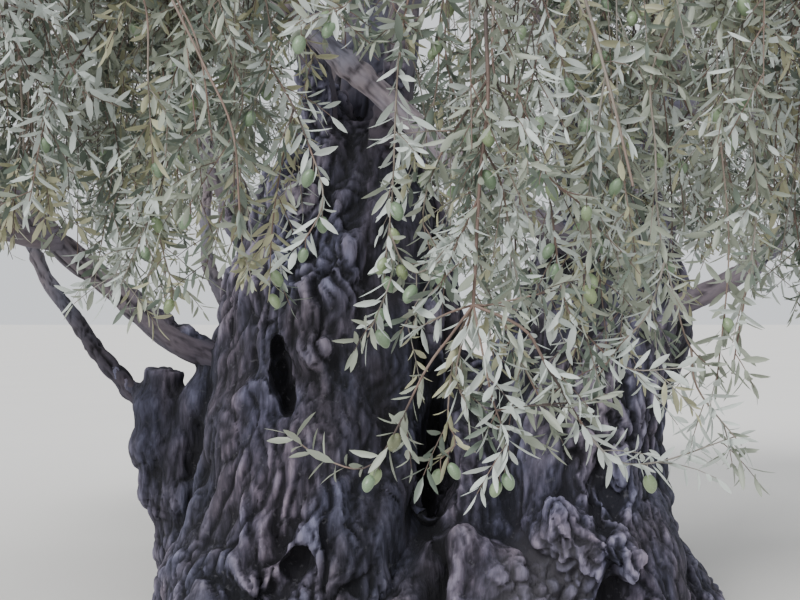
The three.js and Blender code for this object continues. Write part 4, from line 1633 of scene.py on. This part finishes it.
    def hanging_shoots(self, curves: Sequence[Bend], count: int, radii: Span) -> Shoots:
        """Weeping shoots from the outer ends of twigs down to the mass's lower rim.

        Args:
            curves: The twigs.
            count: How many shoots are tried.
            radii: Their radii at the start and the tip.

        Returns:
            The shoots that fit.
        """
        mass, random = self.mass, self.random
        axes, half = np.stack([mass.out, mass.round, UP]), np.array(mass.half)
        flat, turn = 0.97 * np.sqrt(random.random(count)), random.uniform(0, math.tau, count)
        fall = -np.sqrt(1 - flat**2) * random.uniform(0.6, 1.0, count)
        offsets = np.stack([flat * np.cos(turn), flat * np.sin(turn), fall], axis=1) * half
        ends = mass.centre + offsets @ axes
        bearing = np.concatenate([curve.at(np.linspace(0.35, 1, 8)) for curve in curves])
        apart = np.linalg.norm(ends[:, None, :2] - bearing[None, :, :2], axis=-1)
        apart += np.where(bearing[None, :, 2] - ends[:, None, 2] > self.FALL, 0.0, self.FAR_OFF)
        nearest = np.argmin(apart, axis=1)
        starts = bearing[nearest]
        middles = np.stack([ends[:, 0], ends[:, 1], mix(starts[:, 2], ends[:, 2], 0.3)], axis=1)
        controls = np.stack([starts, middles, ends], axis=1)
        shoots = Shoots(controls, np.tile(np.array(radii), (count, 1)), self.deal(count))
        fits = self.free(ends) & self.free(shoots.at(np.full((count, 1), 0.6))[:, 0])
        return shoots.only(fits & (apart[np.arange(count), nearest] < self.NEAR_BY))

    def deal(self, count: int) -> Array:
        """The tint of each of many sprays."""
        return self.random.choice(len(LeafTint), count, p=LeafTint.shares())

    def sprigs_on(self, shoots: Shoots, way: Branching) -> Shoots:
        """Leafy sprigs along shoots, of their shoot's tint."""
        drawn = self.random.uniform(*self.SPOTS, (len(shoots.tints), way.count))
        shares = mix(*way.along, (np.arange(way.count) + drawn) / way.count)
        points, tangents = shoots.at(shares).reshape(-1, 3), shoots.tangents(shares).reshape(-1, 3)
        return self.side_shoots(points, tangents, np.repeat(shoots.tints, way.count), way)

    def leaves_on(self, shoots: Shoots, way: Foliage) -> Leaves:
        """Opposite pairs of leaves that turn a quarter from pair to pair, and one at each shoot's tip.

        Args:
            shoots: The shoots that carry the leaves.
            way: The leaves' number, size and lean.

        Returns:
            The leaves that fit.
        """
        leaves = pairs_along(shoots, way, self.random, np.full(len(shoots.tints), True))
        return leaves.only(self.free(leaves.tips()) & self.free(leaves.roots + leaves.directions * 0.02))


class OpenGrowth(Growth):
    """Growth that may leave the mass's own space, for sprays that hang in front of it."""

    def free(self, places: Array) -> Array:
        """Which places lie within reach and clear of every limb."""
        return self.clear(places)


def across_and_lifted(tangents: Array) -> tuple[Array, Array]:
    """A level direction square to each tangent, and one square to both."""
    steep = np.abs(tangents[..., 2:]) > 0.97
    level = unit(np.cross(tangents, np.where(steep, TO_THE_RIGHT, UP)))
    return level, np.cross(level, tangents)


def pairs_along(shoots: Shoots, way: Foliage, random: np.random.Generator, tipped: Array) -> Leaves:
    """Leaves in opposite pairs along shoots, and one at the tips of some.

    Args:
        shoots: The shoots.
        way: The leaves' number, size and lean.
        random: The numbers that vary them.
        tipped: Which shoots have a leaf at the tip.

    Returns:
        All the leaves.
    """
    count, pairs = len(shoots.tints), way.pairs
    steps = (np.arange(pairs) + random.uniform(-way.shift, way.shift, (count, pairs)) + 0.5) / pairs
    shares = np.repeat(mix(*way.along, steps), 2, axis=1)
    shares = np.concatenate([shares, np.ones((count, 1))], axis=1)
    points, tangents = shoots.at(shares), shoots.tangents(shares)
    level, lifted = across_and_lifted(tangents)
    first = random.uniform(0, math.pi, (count, 1))
    turn = first + np.arange(pairs) * math.pi / 2
    turn = np.repeat(turn + random.uniform(-way.turning, way.turning, (count, pairs)), 2, axis=1)
    turn[:, 1::2] += math.pi
    turn = np.concatenate([turn, random.uniform(0, math.tau, (count, 1))], axis=1)[..., None]
    lean = random.uniform(*way.lean, (count, 2 * pairs + 1))
    lean[:, -1] = random.uniform(0, way.tip_lean, count)
    lean = lean[..., None]
    side = level * np.cos(turn) + lifted * np.sin(turn)
    sag = UP * random.uniform(0, way.sag, lean.shape)
    direction = unit(tangents * np.cos(lean) + side * np.sin(lean) - sag)
    blade = unit(np.cross(tangents, side))
    roll = random.normal(0, way.roll, lean.shape)
    blade = unit(blade * np.cos(roll) + np.cross(direction, blade) * np.sin(roll))
    blade = unit(blade - direction * (blade * direction).sum(-1, keepdims=True))
    size = random.uniform(*way.sizes, lean.shape[:2]) * mix(1.0, way.size_at_tip, shares)
    grown = np.ones(size.shape, bool)
    grown[:, -1] = tipped
    leaves = Leaves(
        points.reshape(-1, 3),
        direction.reshape(-1, 3),
        blade.reshape(-1, 3),
        (way.length * size).ravel(),
        (way.width * size * random.uniform(*way.widths, size.shape)).ravel(),
        random.uniform(*way.arches, size.size),
        np.repeat(shoots.tints, 2 * pairs + 1),
    )
    return leaves.only(grown.ravel())


class Olive:
    """The shape of one olive on its stalk, copied to many places."""

    LENGTH, WIDTH, STALK = 0.0225, 0.0165, 0.013
    POINTED, SIZES, SWAY = 0.14, (0.85, 1.12), 0.35
    STALK_RADIUS, SUNK = 0.0009, 0.004

    def __init__(self, subdivisions: int = 2) -> None:
        """Models a pointed ball of small triangles and keeps its vertices and faces."""
        bpy.ops.object.select_all(action="DESELECT")
        bpy.ops.mesh.primitive_ico_sphere_add(subdivisions=subdivisions, radius=1, location=(0, 0, 0))
        ball = bpy.context.object
        places = vertices_of(ball)
        places[:, :2] *= (1 + self.POINTED * np.minimum(places[:, 2:], 0)) * self.WIDTH / 2
        places[:, 2] *= self.LENGTH / 2
        self.places = places
        self.faces = np.array([tuple(face.vertices) for face in ball.data.polygons])
        bpy.data.objects.remove(ball)

    def meshes(self, points: Array, size: float, random: np.random.Generator) -> tuple[Array, ...]:
        """Olives that hang under points, with each vertex's ripeness.

        Args:
            points: Where their stalks start.
            size: How many times life size they are.
            random: The numbers that vary them.

        Returns:
            The vertices, the triangles and the ripeness of each vertex.
        """
        count = len(points)
        scale = size * random.uniform(*self.SIZES, count)
        sway = random.uniform(-self.SWAY, self.SWAY, (count, 2))
        hang = ((self.STALK + self.LENGTH / 2) * scale)[:, None]
        centres = points - UP * hang + np.concatenate([sway * hang, np.zeros((count, 1))], axis=1)
        vertices = centres[:, None] + self.places[None] * scale[:, None, None]
        vertices[..., :2] += sway[:, None] * -self.places[None, :, 2:] * scale[:, None, None]
        faces = self.faces[None] + (np.arange(count) * len(self.places))[:, None, None]
        ripeness = np.repeat(random.uniform(0, 1, count), len(self.places))
        return vertices.reshape(-1, 3), faces.reshape(-1, 3), ripeness

    def stalks(self, points: Array, size: float) -> tuple[Array, Array]:
        """The stalks from points down to the olives."""
        ends = points - UP * (self.STALK + self.SUNK) * size
        paths = np.stack([points, ends], axis=1)
        return tube_arrays(paths, np.full((len(points), 2), self.STALK_RADIUS * size), 3)


@dataclass(frozen=True)
class Spray:
    """A spray that hangs in front of the curtains: the route of its stem, its tint and what grows on it.

    The first part of its stem, a share of the length, may be bare.
    """

    route: tuple[Point, ...]
    tint: LeafTint
    on: tuple[int, float] | None = None
    bare: float = 0.0
    sprigs: int = 3
    olives: tuple[float, ...] = ()
    radii: Span = (0.0017, 0.0008)

    SHOOT, STEP = 0.05, 0.012

    def path(self, earlier: Sequence[Array]) -> Array:
        """Evenly spaced points on the stem, given the paths of the sprays before it."""
        route = np.array(self.route)
        if self.on:
            parent = earlier[self.on[0]]
            route = np.vstack([parent[round(self.on[1] * (len(parent) - 1))], route])
        rough = smooth_through(route, np.linspace(0, 1, 12 * len(route)))
        travelled = np.concatenate([[0], np.cumsum(np.linalg.norm(np.diff(rough, axis=0), axis=1))])
        steps = np.linspace(0, travelled[-1], max(9, int(travelled[-1] / self.STEP)))
        return np.stack([np.interp(steps, travelled, rough[:, axis]) for axis in range(3)], axis=1)

    def leafy_shoots(self, path: Array) -> Shoots:
        """The leafy part of the stem as short shoots end to end."""
        stretch = path[int(self.bare * (len(path) - 1)) :]
        length = np.linalg.norm(np.diff(stretch, axis=0), axis=1).sum()
        count = max(1, round(length / self.SHOOT))
        marks = np.rint(np.linspace(0, len(stretch) - 1, 2 * count + 1)).astype(int)
        points = stretch[marks]
        start, middle, end = points[:-1:2], points[1::2], points[2::2]
        controls = np.stack([start, 2 * middle - (start + end) / 2, end], axis=1)
        return Shoots(controls, np.tile(np.array(self.radii), (count, 1)), np.full(count, self.tint.index))


WEEPING_SPRIGS = Branching(9, (0.08, 1.0), (0.09, 0.19), (0.4, 1.0), 0.35, (0.0011, 0.0007))
SPRAY_LEAVES = Foliage(3, 0.045, 0.0098, FINE_LEAF, (0.45, 1.45), (0.05, 0.95))
SPRIG_LEAVES = Foliage(4, 0.042, 0.0092, FINE_LEAF, (0.45, 1.45))
SPRAY_SPRIGS = Branching(1, (0.1, 0.9), (0.05, 0.1), (0.5, 1.1), 0.35, (0.0009, 0.0006))
GREY_GREEN, SILVER, DARK_GREEN, YELLOW_GREEN = LeafTint
# Where a spray grows on an earlier one, "on" gives that one's number in the list and the share of its length
SPRAYS = (
    Spray(
        ((-0.02, -4.31, 2.02), (-0.05, -4.5, 1.91), (-0.05, -4.53, 1.78),
         (-0.06, -4.53, 1.68), (-0.07, -4.55, 1.52)),
        GREY_GREEN, bare=0.55, sprigs=5, olives=(0.62, 0.7), radii=(0.0032, 0.0022),
    ),
    Spray(
        ((-0.01, -4.57, 1.49), (0.02, -4.58, 1.44), (0.09, -4.54, 1.34),
         (0.16, -4.5, 1.32), (0.28, -4.46, 1.35)),
        SILVER, on=(0, 1.0), sprigs=4, olives=(0.72,), radii=(0.0022, 0.0008),
    ),
    Spray(
        ((-0.1, -4.56, 1.48), (-0.13, -4.58, 1.44), (-0.19, -4.57, 1.33),
         (-0.25, -4.55, 1.33), (-0.3, -4.53, 1.36)),
        GREY_GREEN, on=(0, 1.0), bare=0.3, sprigs=1, olives=(0.47, 0.62, 0.66),
        radii=(0.0018, 0.0008),
    ),
    Spray(((-0.09, -4.53, 1.43), (-0.06, -4.56, 1.38), (-0.03, -4.57, 1.37)), SILVER, on=(0, 1.0)),
    Spray(
        ((-0.05, -4.58, 1.41), (-0.03, -4.58, 1.35), (-0.04, -4.57, 1.32)),
        SILVER, on=(0, 1.0), sprigs=4, olives=(0.95, 1.0),
    ),
    Spray(
        ((-0.09, -4.52, 1.47), (-0.1, -4.52, 1.38), (-0.09, -4.53, 1.35), (-0.11, -4.54, 1.33)),
        YELLOW_GREEN, on=(0, 1.0), bare=0.2, olives=(0.93, 1.0),
    ),
    Spray(((0.02, -4.57, 1.4), (0.09, -4.54, 1.4)), GREY_GREEN, on=(4, 0.62)),
    Spray(((0.0, -4.54, 1.43), (0.04, -4.55, 1.35)), GREY_GREEN, on=(1, 0.08)),
    Spray(((-0.05, -4.55, 1.52), (0.04, -4.58, 1.54)), DARK_GREEN, on=(0, 1.0)),
    Spray(
        ((-0.02, -4.31, 2.02), (-0.04, -4.48, 1.84), (-0.02, -4.5, 1.77),
         (0.03, -4.55, 1.67), (0.08, -4.56, 1.65)),
        GREY_GREEN, bare=0.3, sprigs=6, olives=(0.72, 0.8, 0.86, 0.97), radii=(0.0024, 0.001),
    ),
    Spray(
        ((0.03, -4.5, 1.66), (0.05, -4.49, 1.53), (0.08, -4.5, 1.48), (0.13, -4.5, 1.44), (0.2, -4.49, 1.44)),
        SILVER, on=(9, 0.78), sprigs=8, olives=(0.3, 0.36),
    ),
    Spray(
        ((-0.05, -4.25, 2.25), (-0.15, -4.42, 1.93), (-0.17, -4.5, 1.66), (-0.18, -4.5, 1.57)),
        SILVER, bare=0.5, sprigs=5, olives=(0.87, 0.92, 0.97, 1.0), radii=(0.0022, 0.001),
    ),
    Spray(
        ((-0.16, -4.51, 1.58), (-0.14, -4.52, 1.56), (-0.12, -4.53, 1.57)),
        GREY_GREEN, on=(11, 0.93), sprigs=1, olives=(0.35, 0.7),
    ),
    Spray(
        ((-0.17, -4.51, 1.56), (-0.2, -4.54, 1.48)),
        SILVER, on=(11, 0.95), sprigs=1, olives=(0.6, 0.75),
    ),
    Spray(((-0.1, -4.54, 1.51), (-0.14, -4.5, 1.49)), SILVER, on=(0, 1.0), bare=0.6, sprigs=0),
    Spray(
        ((-0.75, -4.05, 2.2), (-0.5, -4.22, 2.04), (-0.4, -4.3, 1.94), (-0.32, -4.38, 1.82),
         (-0.28, -4.44, 1.73), (-0.26, -4.47, 1.66), (-0.28, -4.48, 1.61), (-0.3, -4.48, 1.59)),
        SILVER, bare=0.3, sprigs=7, olives=(0.85, 0.92, 0.97), radii=(0.0026, 0.001),
    ),
    Spray(
        ((-0.33, -4.36, 1.7), (-0.34, -4.36, 1.62), (-0.34, -4.38, 1.55)),
        YELLOW_GREEN, on=(15, 0.74), olives=(0.85, 1.0),
    ),
    Spray(
        ((0.55, -4.1, 2.25), (0.3, -4.32, 2.02), (0.19, -4.4, 1.86), (0.18, -4.44, 1.73),
         (0.18, -4.46, 1.62), (0.2, -4.46, 1.53), (0.22, -4.45, 1.47), (0.25, -4.44, 1.44)),
        GREY_GREEN, bare=0.3, sprigs=8, olives=(0.55, 0.7), radii=(0.0026, 0.001),
    ),
    Spray(((0.16, -4.48, 1.51), (0.12, -4.5, 1.47), (0.09, -4.51, 1.43)), SILVER, on=(17, 0.85)),
    Spray(((0.23, -4.46, 1.41), (0.28, -4.48, 1.34)), SILVER, on=(17, 0.97)),
    Spray(
        ((0.6, -4.1, 2.2), (0.4, -4.32, 2.04), (0.31, -4.4, 1.9),
         (0.32, -4.4, 1.77), (0.32, -4.42, 1.64), (0.28, -4.44, 1.43)),
        GREY_GREEN, bare=0.3, sprigs=8, olives=(0.6,), radii=(0.0024, 0.001),
    ),
    Spray(
        ((0.07, -4.53, 1.64), (0.08, -4.52, 1.6), (0.07, -4.52, 1.56)),
        GREY_GREEN, on=(9, 0.9), olives=(0.9, 1.0),
    ),
    Spray(
        ((0.05, -4.25, 2.1), (0.1, -4.42, 1.89), (0.12, -4.45, 1.78), (0.15, -4.46, 1.58)),
        YELLOW_GREEN, bare=0.3, sprigs=6, olives=(0.5, 0.8),
    ),
    Spray(
        ((-0.03, -4.25, 2.15), (-0.1, -4.42, 1.94), (-0.11, -4.43, 1.82),
         (-0.13, -4.44, 1.73), (-0.15, -4.45, 1.67)),
        DARK_GREEN, bare=0.3, sprigs=6, olives=(0.6,),
    ),
    Spray(
        ((0.0, -4.3, 2.05), (0.03, -4.44, 1.93), (0.06, -4.45, 1.83),
         (0.09, -4.46, 1.78), (0.1, -4.47, 1.72)),
        SILVER, bare=0.2, sprigs=5, olives=(0.7, 0.85),
    ),
    Spray(
        ((-0.11, -4.48, 1.71), (-0.13, -4.47, 1.64), (-0.12, -4.47, 1.59)),
        GREY_GREEN, on=(0, 0.54), sprigs=4,
    ),
    Spray(((-0.03, -4.5, 1.67), (-0.01, -4.49, 1.55)), SILVER, on=(0, 0.68), sprigs=4),
    Spray(((-0.1, -4.52, 1.57), (-0.11, -4.53, 1.54)), SILVER, on=(0, 0.78)),
    Spray(
        ((-0.3, -4.2, 2.22), (-0.28, -4.34, 2.08), (-0.27, -4.4, 1.97),
         (-0.24, -4.43, 1.91), (-0.2, -4.44, 1.87)),
        GREY_GREEN, bare=0.2, sprigs=12, olives=(0.8,),
    ),
    Spray(
        ((-0.2, -4.2, 2.24), (-0.22, -4.36, 2.1), (-0.21, -4.42, 1.98),
         (-0.23, -4.45, 1.92), (-0.29, -4.46, 1.89)),
        SILVER, bare=0.2, sprigs=12, olives=(0.9, 1.0),
    ),
    Spray(
        ((-0.12, -4.22, 2.2), (-0.15, -4.36, 2.06), (-0.17, -4.4, 1.95),
         (-0.16, -4.43, 1.91), (-0.13, -4.44, 1.88)),
        GREY_GREEN, bare=0.2, sprigs=12,
    ),
    Spray(
        ((-0.42, -4.15, 2.2), (-0.38, -4.28, 2.05), (-0.35, -4.34, 1.95),
         (-0.34, -4.38, 1.86), (-0.37, -4.4, 1.78)),
        DARK_GREEN, bare=0.2, sprigs=12, olives=(0.95,),
    ),
    Spray(
        ((-0.25, -4.1, 2.26), (-0.26, -4.22, 2.14), (-0.3, -4.27, 2.03),
         (-0.31, -4.29, 1.94), (-0.28, -4.3, 1.88)),
        YELLOW_GREEN, bare=0.2, sprigs=12,
    ),
    Spray(
        ((-0.6, -4.15, 2.2), (-0.5, -4.4, 2.0), (-0.42, -4.45, 1.84),
         (-0.38, -4.46, 1.75), (-0.37, -4.46, 1.64)),
        DARK_GREEN, bare=0.85, sprigs=0, radii=(0.0024, 0.0014),
    ),
    Spray(
        ((-0.55, -4.15, 2.25), (-0.49, -4.38, 2.0), (-0.43, -4.44, 1.87), (-0.41, -4.44, 1.74)),
        GREY_GREEN, bare=0.9, sprigs=0, radii=(0.002, 0.0012),
    ),
    Spray(
        ((-0.62, -4.15, 2.1), (-0.52, -4.36, 1.95), (-0.5, -4.42, 1.82), (-0.49, -4.43, 1.7)),
        YELLOW_GREEN, bare=0.75, sprigs=2, olives=(0.95,), radii=(0.002, 0.001),
    ),
    Spray(
        ((0.5, -4.1, 2.2), (0.3, -4.36, 2.0), (0.27, -4.42, 1.8), (0.28, -4.43, 1.6), (0.26, -4.44, 1.42)),
        GREY_GREEN, bare=0.7, sprigs=3, olives=(0.9,), radii=(0.002, 0.001),
    ),
)


@dataclass(frozen=True)
class Fringe:
    """A row of sprays that hang side by side down to a rim, whose heights are listed from left to right."""

    count: int
    across: Span
    depth: Span
    rim: tuple[float, ...]
    top: float = 2.1
    sprigs: int = 10

    def sprays(self, random: np.random.Generator) -> Iterator[Spray]:
        """The row's sprays, each with a dealt tint and up to two olives."""
        for number in range(self.count):
            share = (number + random.uniform(0.1, 0.9)) / self.count
            x, y = mix(*self.across, share), random.uniform(*self.depth)
            low = np.interp(share, np.linspace(0, 1, len(self.rim)), self.rim) + 0.2 * random.random() ** 2
            sway = random.uniform(-0.07, 0.07, 3)
            levels = mix(self.top, low, np.array((0.0, 0.3, 0.65, 1.0)))
            sides = (x + 2 * sway[0], x + sway[0], x + sway[1], x + sway[2])
            steps = zip(sides, (0.25, 0.08, 0.0, -0.03), levels)
            route = tuple((side, y + back, level) for side, back, level in steps)
            tint = random.choice(np.array(LeafTint), p=LeafTint.shares())
            olives = tuple(random.uniform(0.5, 1, random.integers(0, 3)))
            yield Spray(route, tint, bare=0.25, sprigs=self.sprigs, olives=olives)


FRINGES = (
    Fringe(15, (-0.64, -0.35), (-4.42, -4.15), (1.56, 1.53, 1.53, 1.56, 1.55)),
    Fringe(14, (-0.12, 0.3), (-4.32, -3.95), (1.44, 1.37, 1.44, 1.46)),
)


class GroupParts:
    """The wood, the fruit and the leaves of each tint that one group of masses gathers."""

    def __init__(self) -> None:
        """Starts with nothing."""
        self.wood, self.fruit = MeshParts(), MeshParts()
        self.blades = {tint: MeshParts() for tint in LeafTint}

    def add_leaves(self, leaves: Leaves, shape: LeafShape) -> None:
        """Puts leaves of a shape into the parts of their tints."""
        for index, tint in enumerate(LeafTint):
            dealt = leaves.only(leaves.tints == index)
            if len(dealt.roots):
                self.blades[tint].add(*shape.meshes(dealt))

    def add_olives(self, olive: Olive, points: Array, size: float, random: np.random.Generator) -> None:
        """Hangs olives with their stalks under points.

        Args:
            olive: Their shape.
            points: Where their stalks start.
            size: How many times life size they are.
            random: The numbers that vary them.
        """
        self.fruit.add(*olive.meshes(points, size, random))
        self.wood.add(*olive.stalks(points, size))


class Crown:
    """All the foliage: one piece for each kind of thing in each group of masses."""

    GROUPS = ("skirt", "shoulder", "top", "curtain")

    def __init__(self, masses: Sequence[Mass], limbs: Sequence[Limb], reach: Array) -> None:
        """Keeps what the foliage grows on and in.

        Args:
            masses: The foliage masses.
            limbs: The boughs that carry them.
            reach: The lowest and highest corner that anything may reach.
        """
        self.masses, self.limbs, self.reach = masses, limbs, reach
        self.far_olive, self.olive, self.fine_olive = Olive(1), Olive(2), Olive(3)

    def build(self) -> Iterator[tuple[Object, list[str], object]]:
        """Grows every group.

        Yields:
            Each piece with the names of the masses that it stands for and its finish.
        """
        for group in self.GROUPS:
            members = [mass for mass in self.masses if mass.group == group]
            names = [mass.name for mass in members]
            parts = GroupParts()
            for mass in members:
                self._grow(mass, parts)
            if group == "curtain":
                self._hang_sprays(parts)
            yield parts.wood.build(f"{group}_twigs"), names, TwigFinish()
            yield parts.fruit.build(f"{group}_olives", "ripeness"), names, FruitFinish()
            for tint, blades in parts.blades.items():
                yield blades.build(f"{group}_leaves_{tint.name.lower()}"), names, tint

    @staticmethod
    def _habit(mass: Mass) -> Habit:
        """How a mass divides."""
        if mass.group != "curtain":
            return CROWN_HABIT
        return MIDDLE_HABIT if mass.name.endswith("middle") else SIDE_HABIT

    def _hang_sprays(self, parts: GroupParts) -> None:
        """Adds the sprays that hang in front."""
        middle = next(mass for mass in self.masses if mass.name.endswith("middle"))
        growth = OpenGrowth(middle, self.masses, self.limbs, self.reach, CROWN_HABIT)
        rows = np.random.default_rng(71)
        paths: list[Array] = []
        for spray in (*SPRAYS, *(spray for fringe in FRINGES for spray in fringe.sprays(rows))):
            path = spray.path(paths)
            paths.append(path)
            radii = mix(*spray.radii, np.linspace(0, 1, len(path)))
            parts.wood.add(*tube_arrays(path[None], radii[None], 6))
            shoots = spray.leafy_shoots(path)
            count = len(shoots.tints)
            tipped = np.arange(count) == count - 1
            leaves = pairs_along(shoots, SPRAY_LEAVES, growth.random, tipped)
            parts.add_leaves(leaves, SPRAY_LEAVES.shape)
            chosen = growth.random.choice(count, min(spray.sprigs, count), replace=False)
            sprigs = growth.sprigs_on(shoots.only(np.sort(chosen)), SPRAY_SPRIGS)
            sprigs.tints = growth.deal(len(sprigs.tints))
            parts.wood.add(*sprigs.tubes(4))
            parts.add_leaves(growth.leaves_on(sprigs, SPRIG_LEAVES), SPRIG_LEAVES.shape)
            if spray.olives:
                spots = path[np.rint(np.array(spray.olives) * (len(path) - 1)).astype(int)]
                parts.add_olives(self.fine_olive, spots, 1.0, growth.random)

    def _grow(self, mass: Mass, parts: GroupParts) -> None:
        """Grows one mass into the parts of its group."""
        habit = self._habit(mass)
        growth = Growth(mass, self.masses, self.limbs, self.reach, habit)
        limb = next(limb for limb in self.limbs if limb.mass is mass)
        twigs = growth.twigs(limb.stem, habit.twigs)
        shoots = growth.shoots_on(twigs, habit.shoots)
        sprigs = growth.sprigs_on(shoots, habit.sprigs)
        if habit.hanging:
            weeping = growth.hanging_shoots(twigs, habit.hanging, habit.shoots.radii)
            sprigs = sprigs.with_more(growth.sprigs_on(weeping, WEEPING_SPRIGS))
            parts.wood.add(*weeping.tubes(7))
        leaves = growth.leaves_on(sprigs, habit.leaves)
        shares = np.linspace(0, 1, 9)
        paths = np.array([twig.at(shares) for twig in twigs])
        radii = np.tile(mix(*habit.twig_radii, shares), (len(twigs), 1))
        parts.wood.add(*tube_arrays(paths, radii, 5))
        parts.wood.add(*shoots.tubes(4))
        parts.wood.add(*sprigs.tubes(2))
        parts.add_leaves(leaves, habit.leaves.shape)
        count = len(sprigs.tints)
        chosen = growth.random.choice(count, min(habit.olives, count), replace=False)
        spots = sprigs.only(chosen).at(growth.random.uniform(0.2, 0.8, (len(chosen), 1)))[:, 0]
        olive = self.olive if habit.hanging else self.far_olive
        parts.add_olives(olive, spots, habit.olive_size, growth.random)


# The stage


@dataclass(frozen=True)
class Studio:
    """The camera at the photographed angle, a pale floor and soft light."""

    camera_place: Point = (-0.16, -5.9, 1.5)
    tilt_up: float = 1.1
    lens: float = 49.5
    sensor: float = 36.0
    floor_size: float = 900.0
    floor_colour: Colour = (0.74, 0.72, 0.69)
    sky_colour: Colour = (0.93, 0.96, 1.0)
    sky_strength: float = 1.0
    sun_strength: float = 3.3
    sun_softness: float = 0.45
    sun_turn: Point = (0.84, -0.36, -0.38)

    def build(self) -> None:
        """Sets up the camera, floor, sky and light."""
        self._add_camera()
        self._add_floor()
        self._add_sky()
        self._add_sun()

    def _add_camera(self) -> None:
        """The camera looks along +Y from eye height, a little upwards."""
        turn = (math.radians(90 + self.tilt_up), 0, 0)
        bpy.ops.object.camera_add(location=self.camera_place, rotation=turn)
        camera = bpy.context.object
        camera.data.lens = self.lens
        camera.data.sensor_width = self.sensor
        camera.data.clip_end = 2 * self.floor_size
        bpy.context.scene.camera = camera

    def _add_floor(self) -> None:
        """A wide pale floor under the foot."""
        bpy.ops.mesh.primitive_plane_add(size=self.floor_size, location=(0, 0, 0))
        floor = bpy.context.object
        floor.name = "studio_floor"
        graph = Graph("floor_paint")
        cloud = graph.noise(EVEN, 0.4, 2.0)
        dim = tuple(channel * 0.97 for channel in self.floor_colour)
        colour = graph.ramp(cloud, ((0.3, dim), (0.7, self.floor_colour)))
        floor.data.materials.append(graph.finish(Base_Color=colour, Roughness=0.9))
        floor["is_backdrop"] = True

    def _add_sky(self) -> None:
        """Even pale light from all round."""
        world = bpy.data.worlds.new("studio_sky")
        world.use_nodes = True
        background = world.node_tree.nodes["Background"]
        background.inputs["Color"].default_value = (*self.sky_colour, 1.0)
        background.inputs["Strength"].default_value = self.sky_strength
        bpy.context.scene.world = world

    def _add_sun(self) -> None:
        """Soft light from the upper front."""
        bpy.ops.object.light_add(type="SUN", location=(-4, -8, 9), rotation=self.sun_turn)
        sun = bpy.context.object
        sun.data.energy = self.sun_strength
        sun.data.angle = self.sun_softness


TRUNK_BARK = BarkFinish(
    name="trunk_bark",
    tones=(
        (0.22, (0.008, 0.008, 0.012)),
        (0.42, (0.025, 0.025, 0.036)),
        (0.62, (0.066, 0.063, 0.086)),
        (0.8, (0.13, 0.125, 0.162)),
        (1.0, (0.25, 0.24, 0.3)),
    ),
    patches=(0.6, 1.25),
    lichen=(0.2, 0.195, 0.22),
    grain=(1.0, 1.0, 0.27),
    bump=0.012,
    shades=((0.38, 0.38, 0.42), (1.5, 1.4, 1.45)),
)
LIMB_BARK = BarkFinish(
    name="limb_bark",
    tones=(
        (0.2, (0.025, 0.022, 0.026)),
        (0.45, (0.075, 0.068, 0.078)),
        (0.7, (0.15, 0.14, 0.155)),
        (0.95, (0.26, 0.245, 0.265)),
    ),
    patches=(0.7, 1.2),
    lichen=(0.25, 0.25, 0.25),
    grain=(1.0, 1.0, 0.3),
    bump=0.005,
    shades=((0.3, 0.3, 0.36), EVEN),
    where="straight",
)


def dress(piece: Object, material: bpy.types.Material, slot: str, nodes: Sequence[str]) -> None:
    """Gives a piece its material and its place in the frame, and hides and logs the nodes that it stands for.
    """
    piece.data.materials.clear()
    piece.data.materials.append(material)
    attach(piece, "root")
    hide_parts(*nodes)
    triangles = sum(len(face.vertices) - 2 for face in piece.data.polygons)
    LOG.info("%s: %d triangles, in place of %s", piece.name, triangles, ", ".join(nodes))


def corners(box: tuple[Point, Point]) -> list[list[float]]:
    """A box's two corners as plain lists."""
    return [[float(value) for value in corner] for corner in box]


def main() -> None:
    """Builds the stage and the tree."""
    logging.basicConfig(level=logging.INFO, format="%(message)s")
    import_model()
    frame_box = corners(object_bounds())
    Studio().build()
    masses = list_masses()
    limbs = route_limbs(masses)
    trunk_bark = TRUNK_BARK.material()
    for side in Trunk(limbs).build():
        dress(side, trunk_bark, TRUNK_SLOT, ["trunk"])
    limb_bark = LIMB_BARK.material()
    for limb in limbs:
        dress(limb.build(), limb_bark, LIMB_SLOT, [limb.name])
    margin = np.array([[-0.05] * 3, [0.05] * 3])
    finishes: dict[object, bpy.types.Material] = {}
    for piece, names, finish in Crown(masses, limbs, np.array(frame_box) + margin).build():
        if finish not in finishes:
            finishes[finish] = finish.material()
        dress(piece, finishes[finish], FOLIAGE_SLOT, names)


if __name__ == "__main__":
    main()
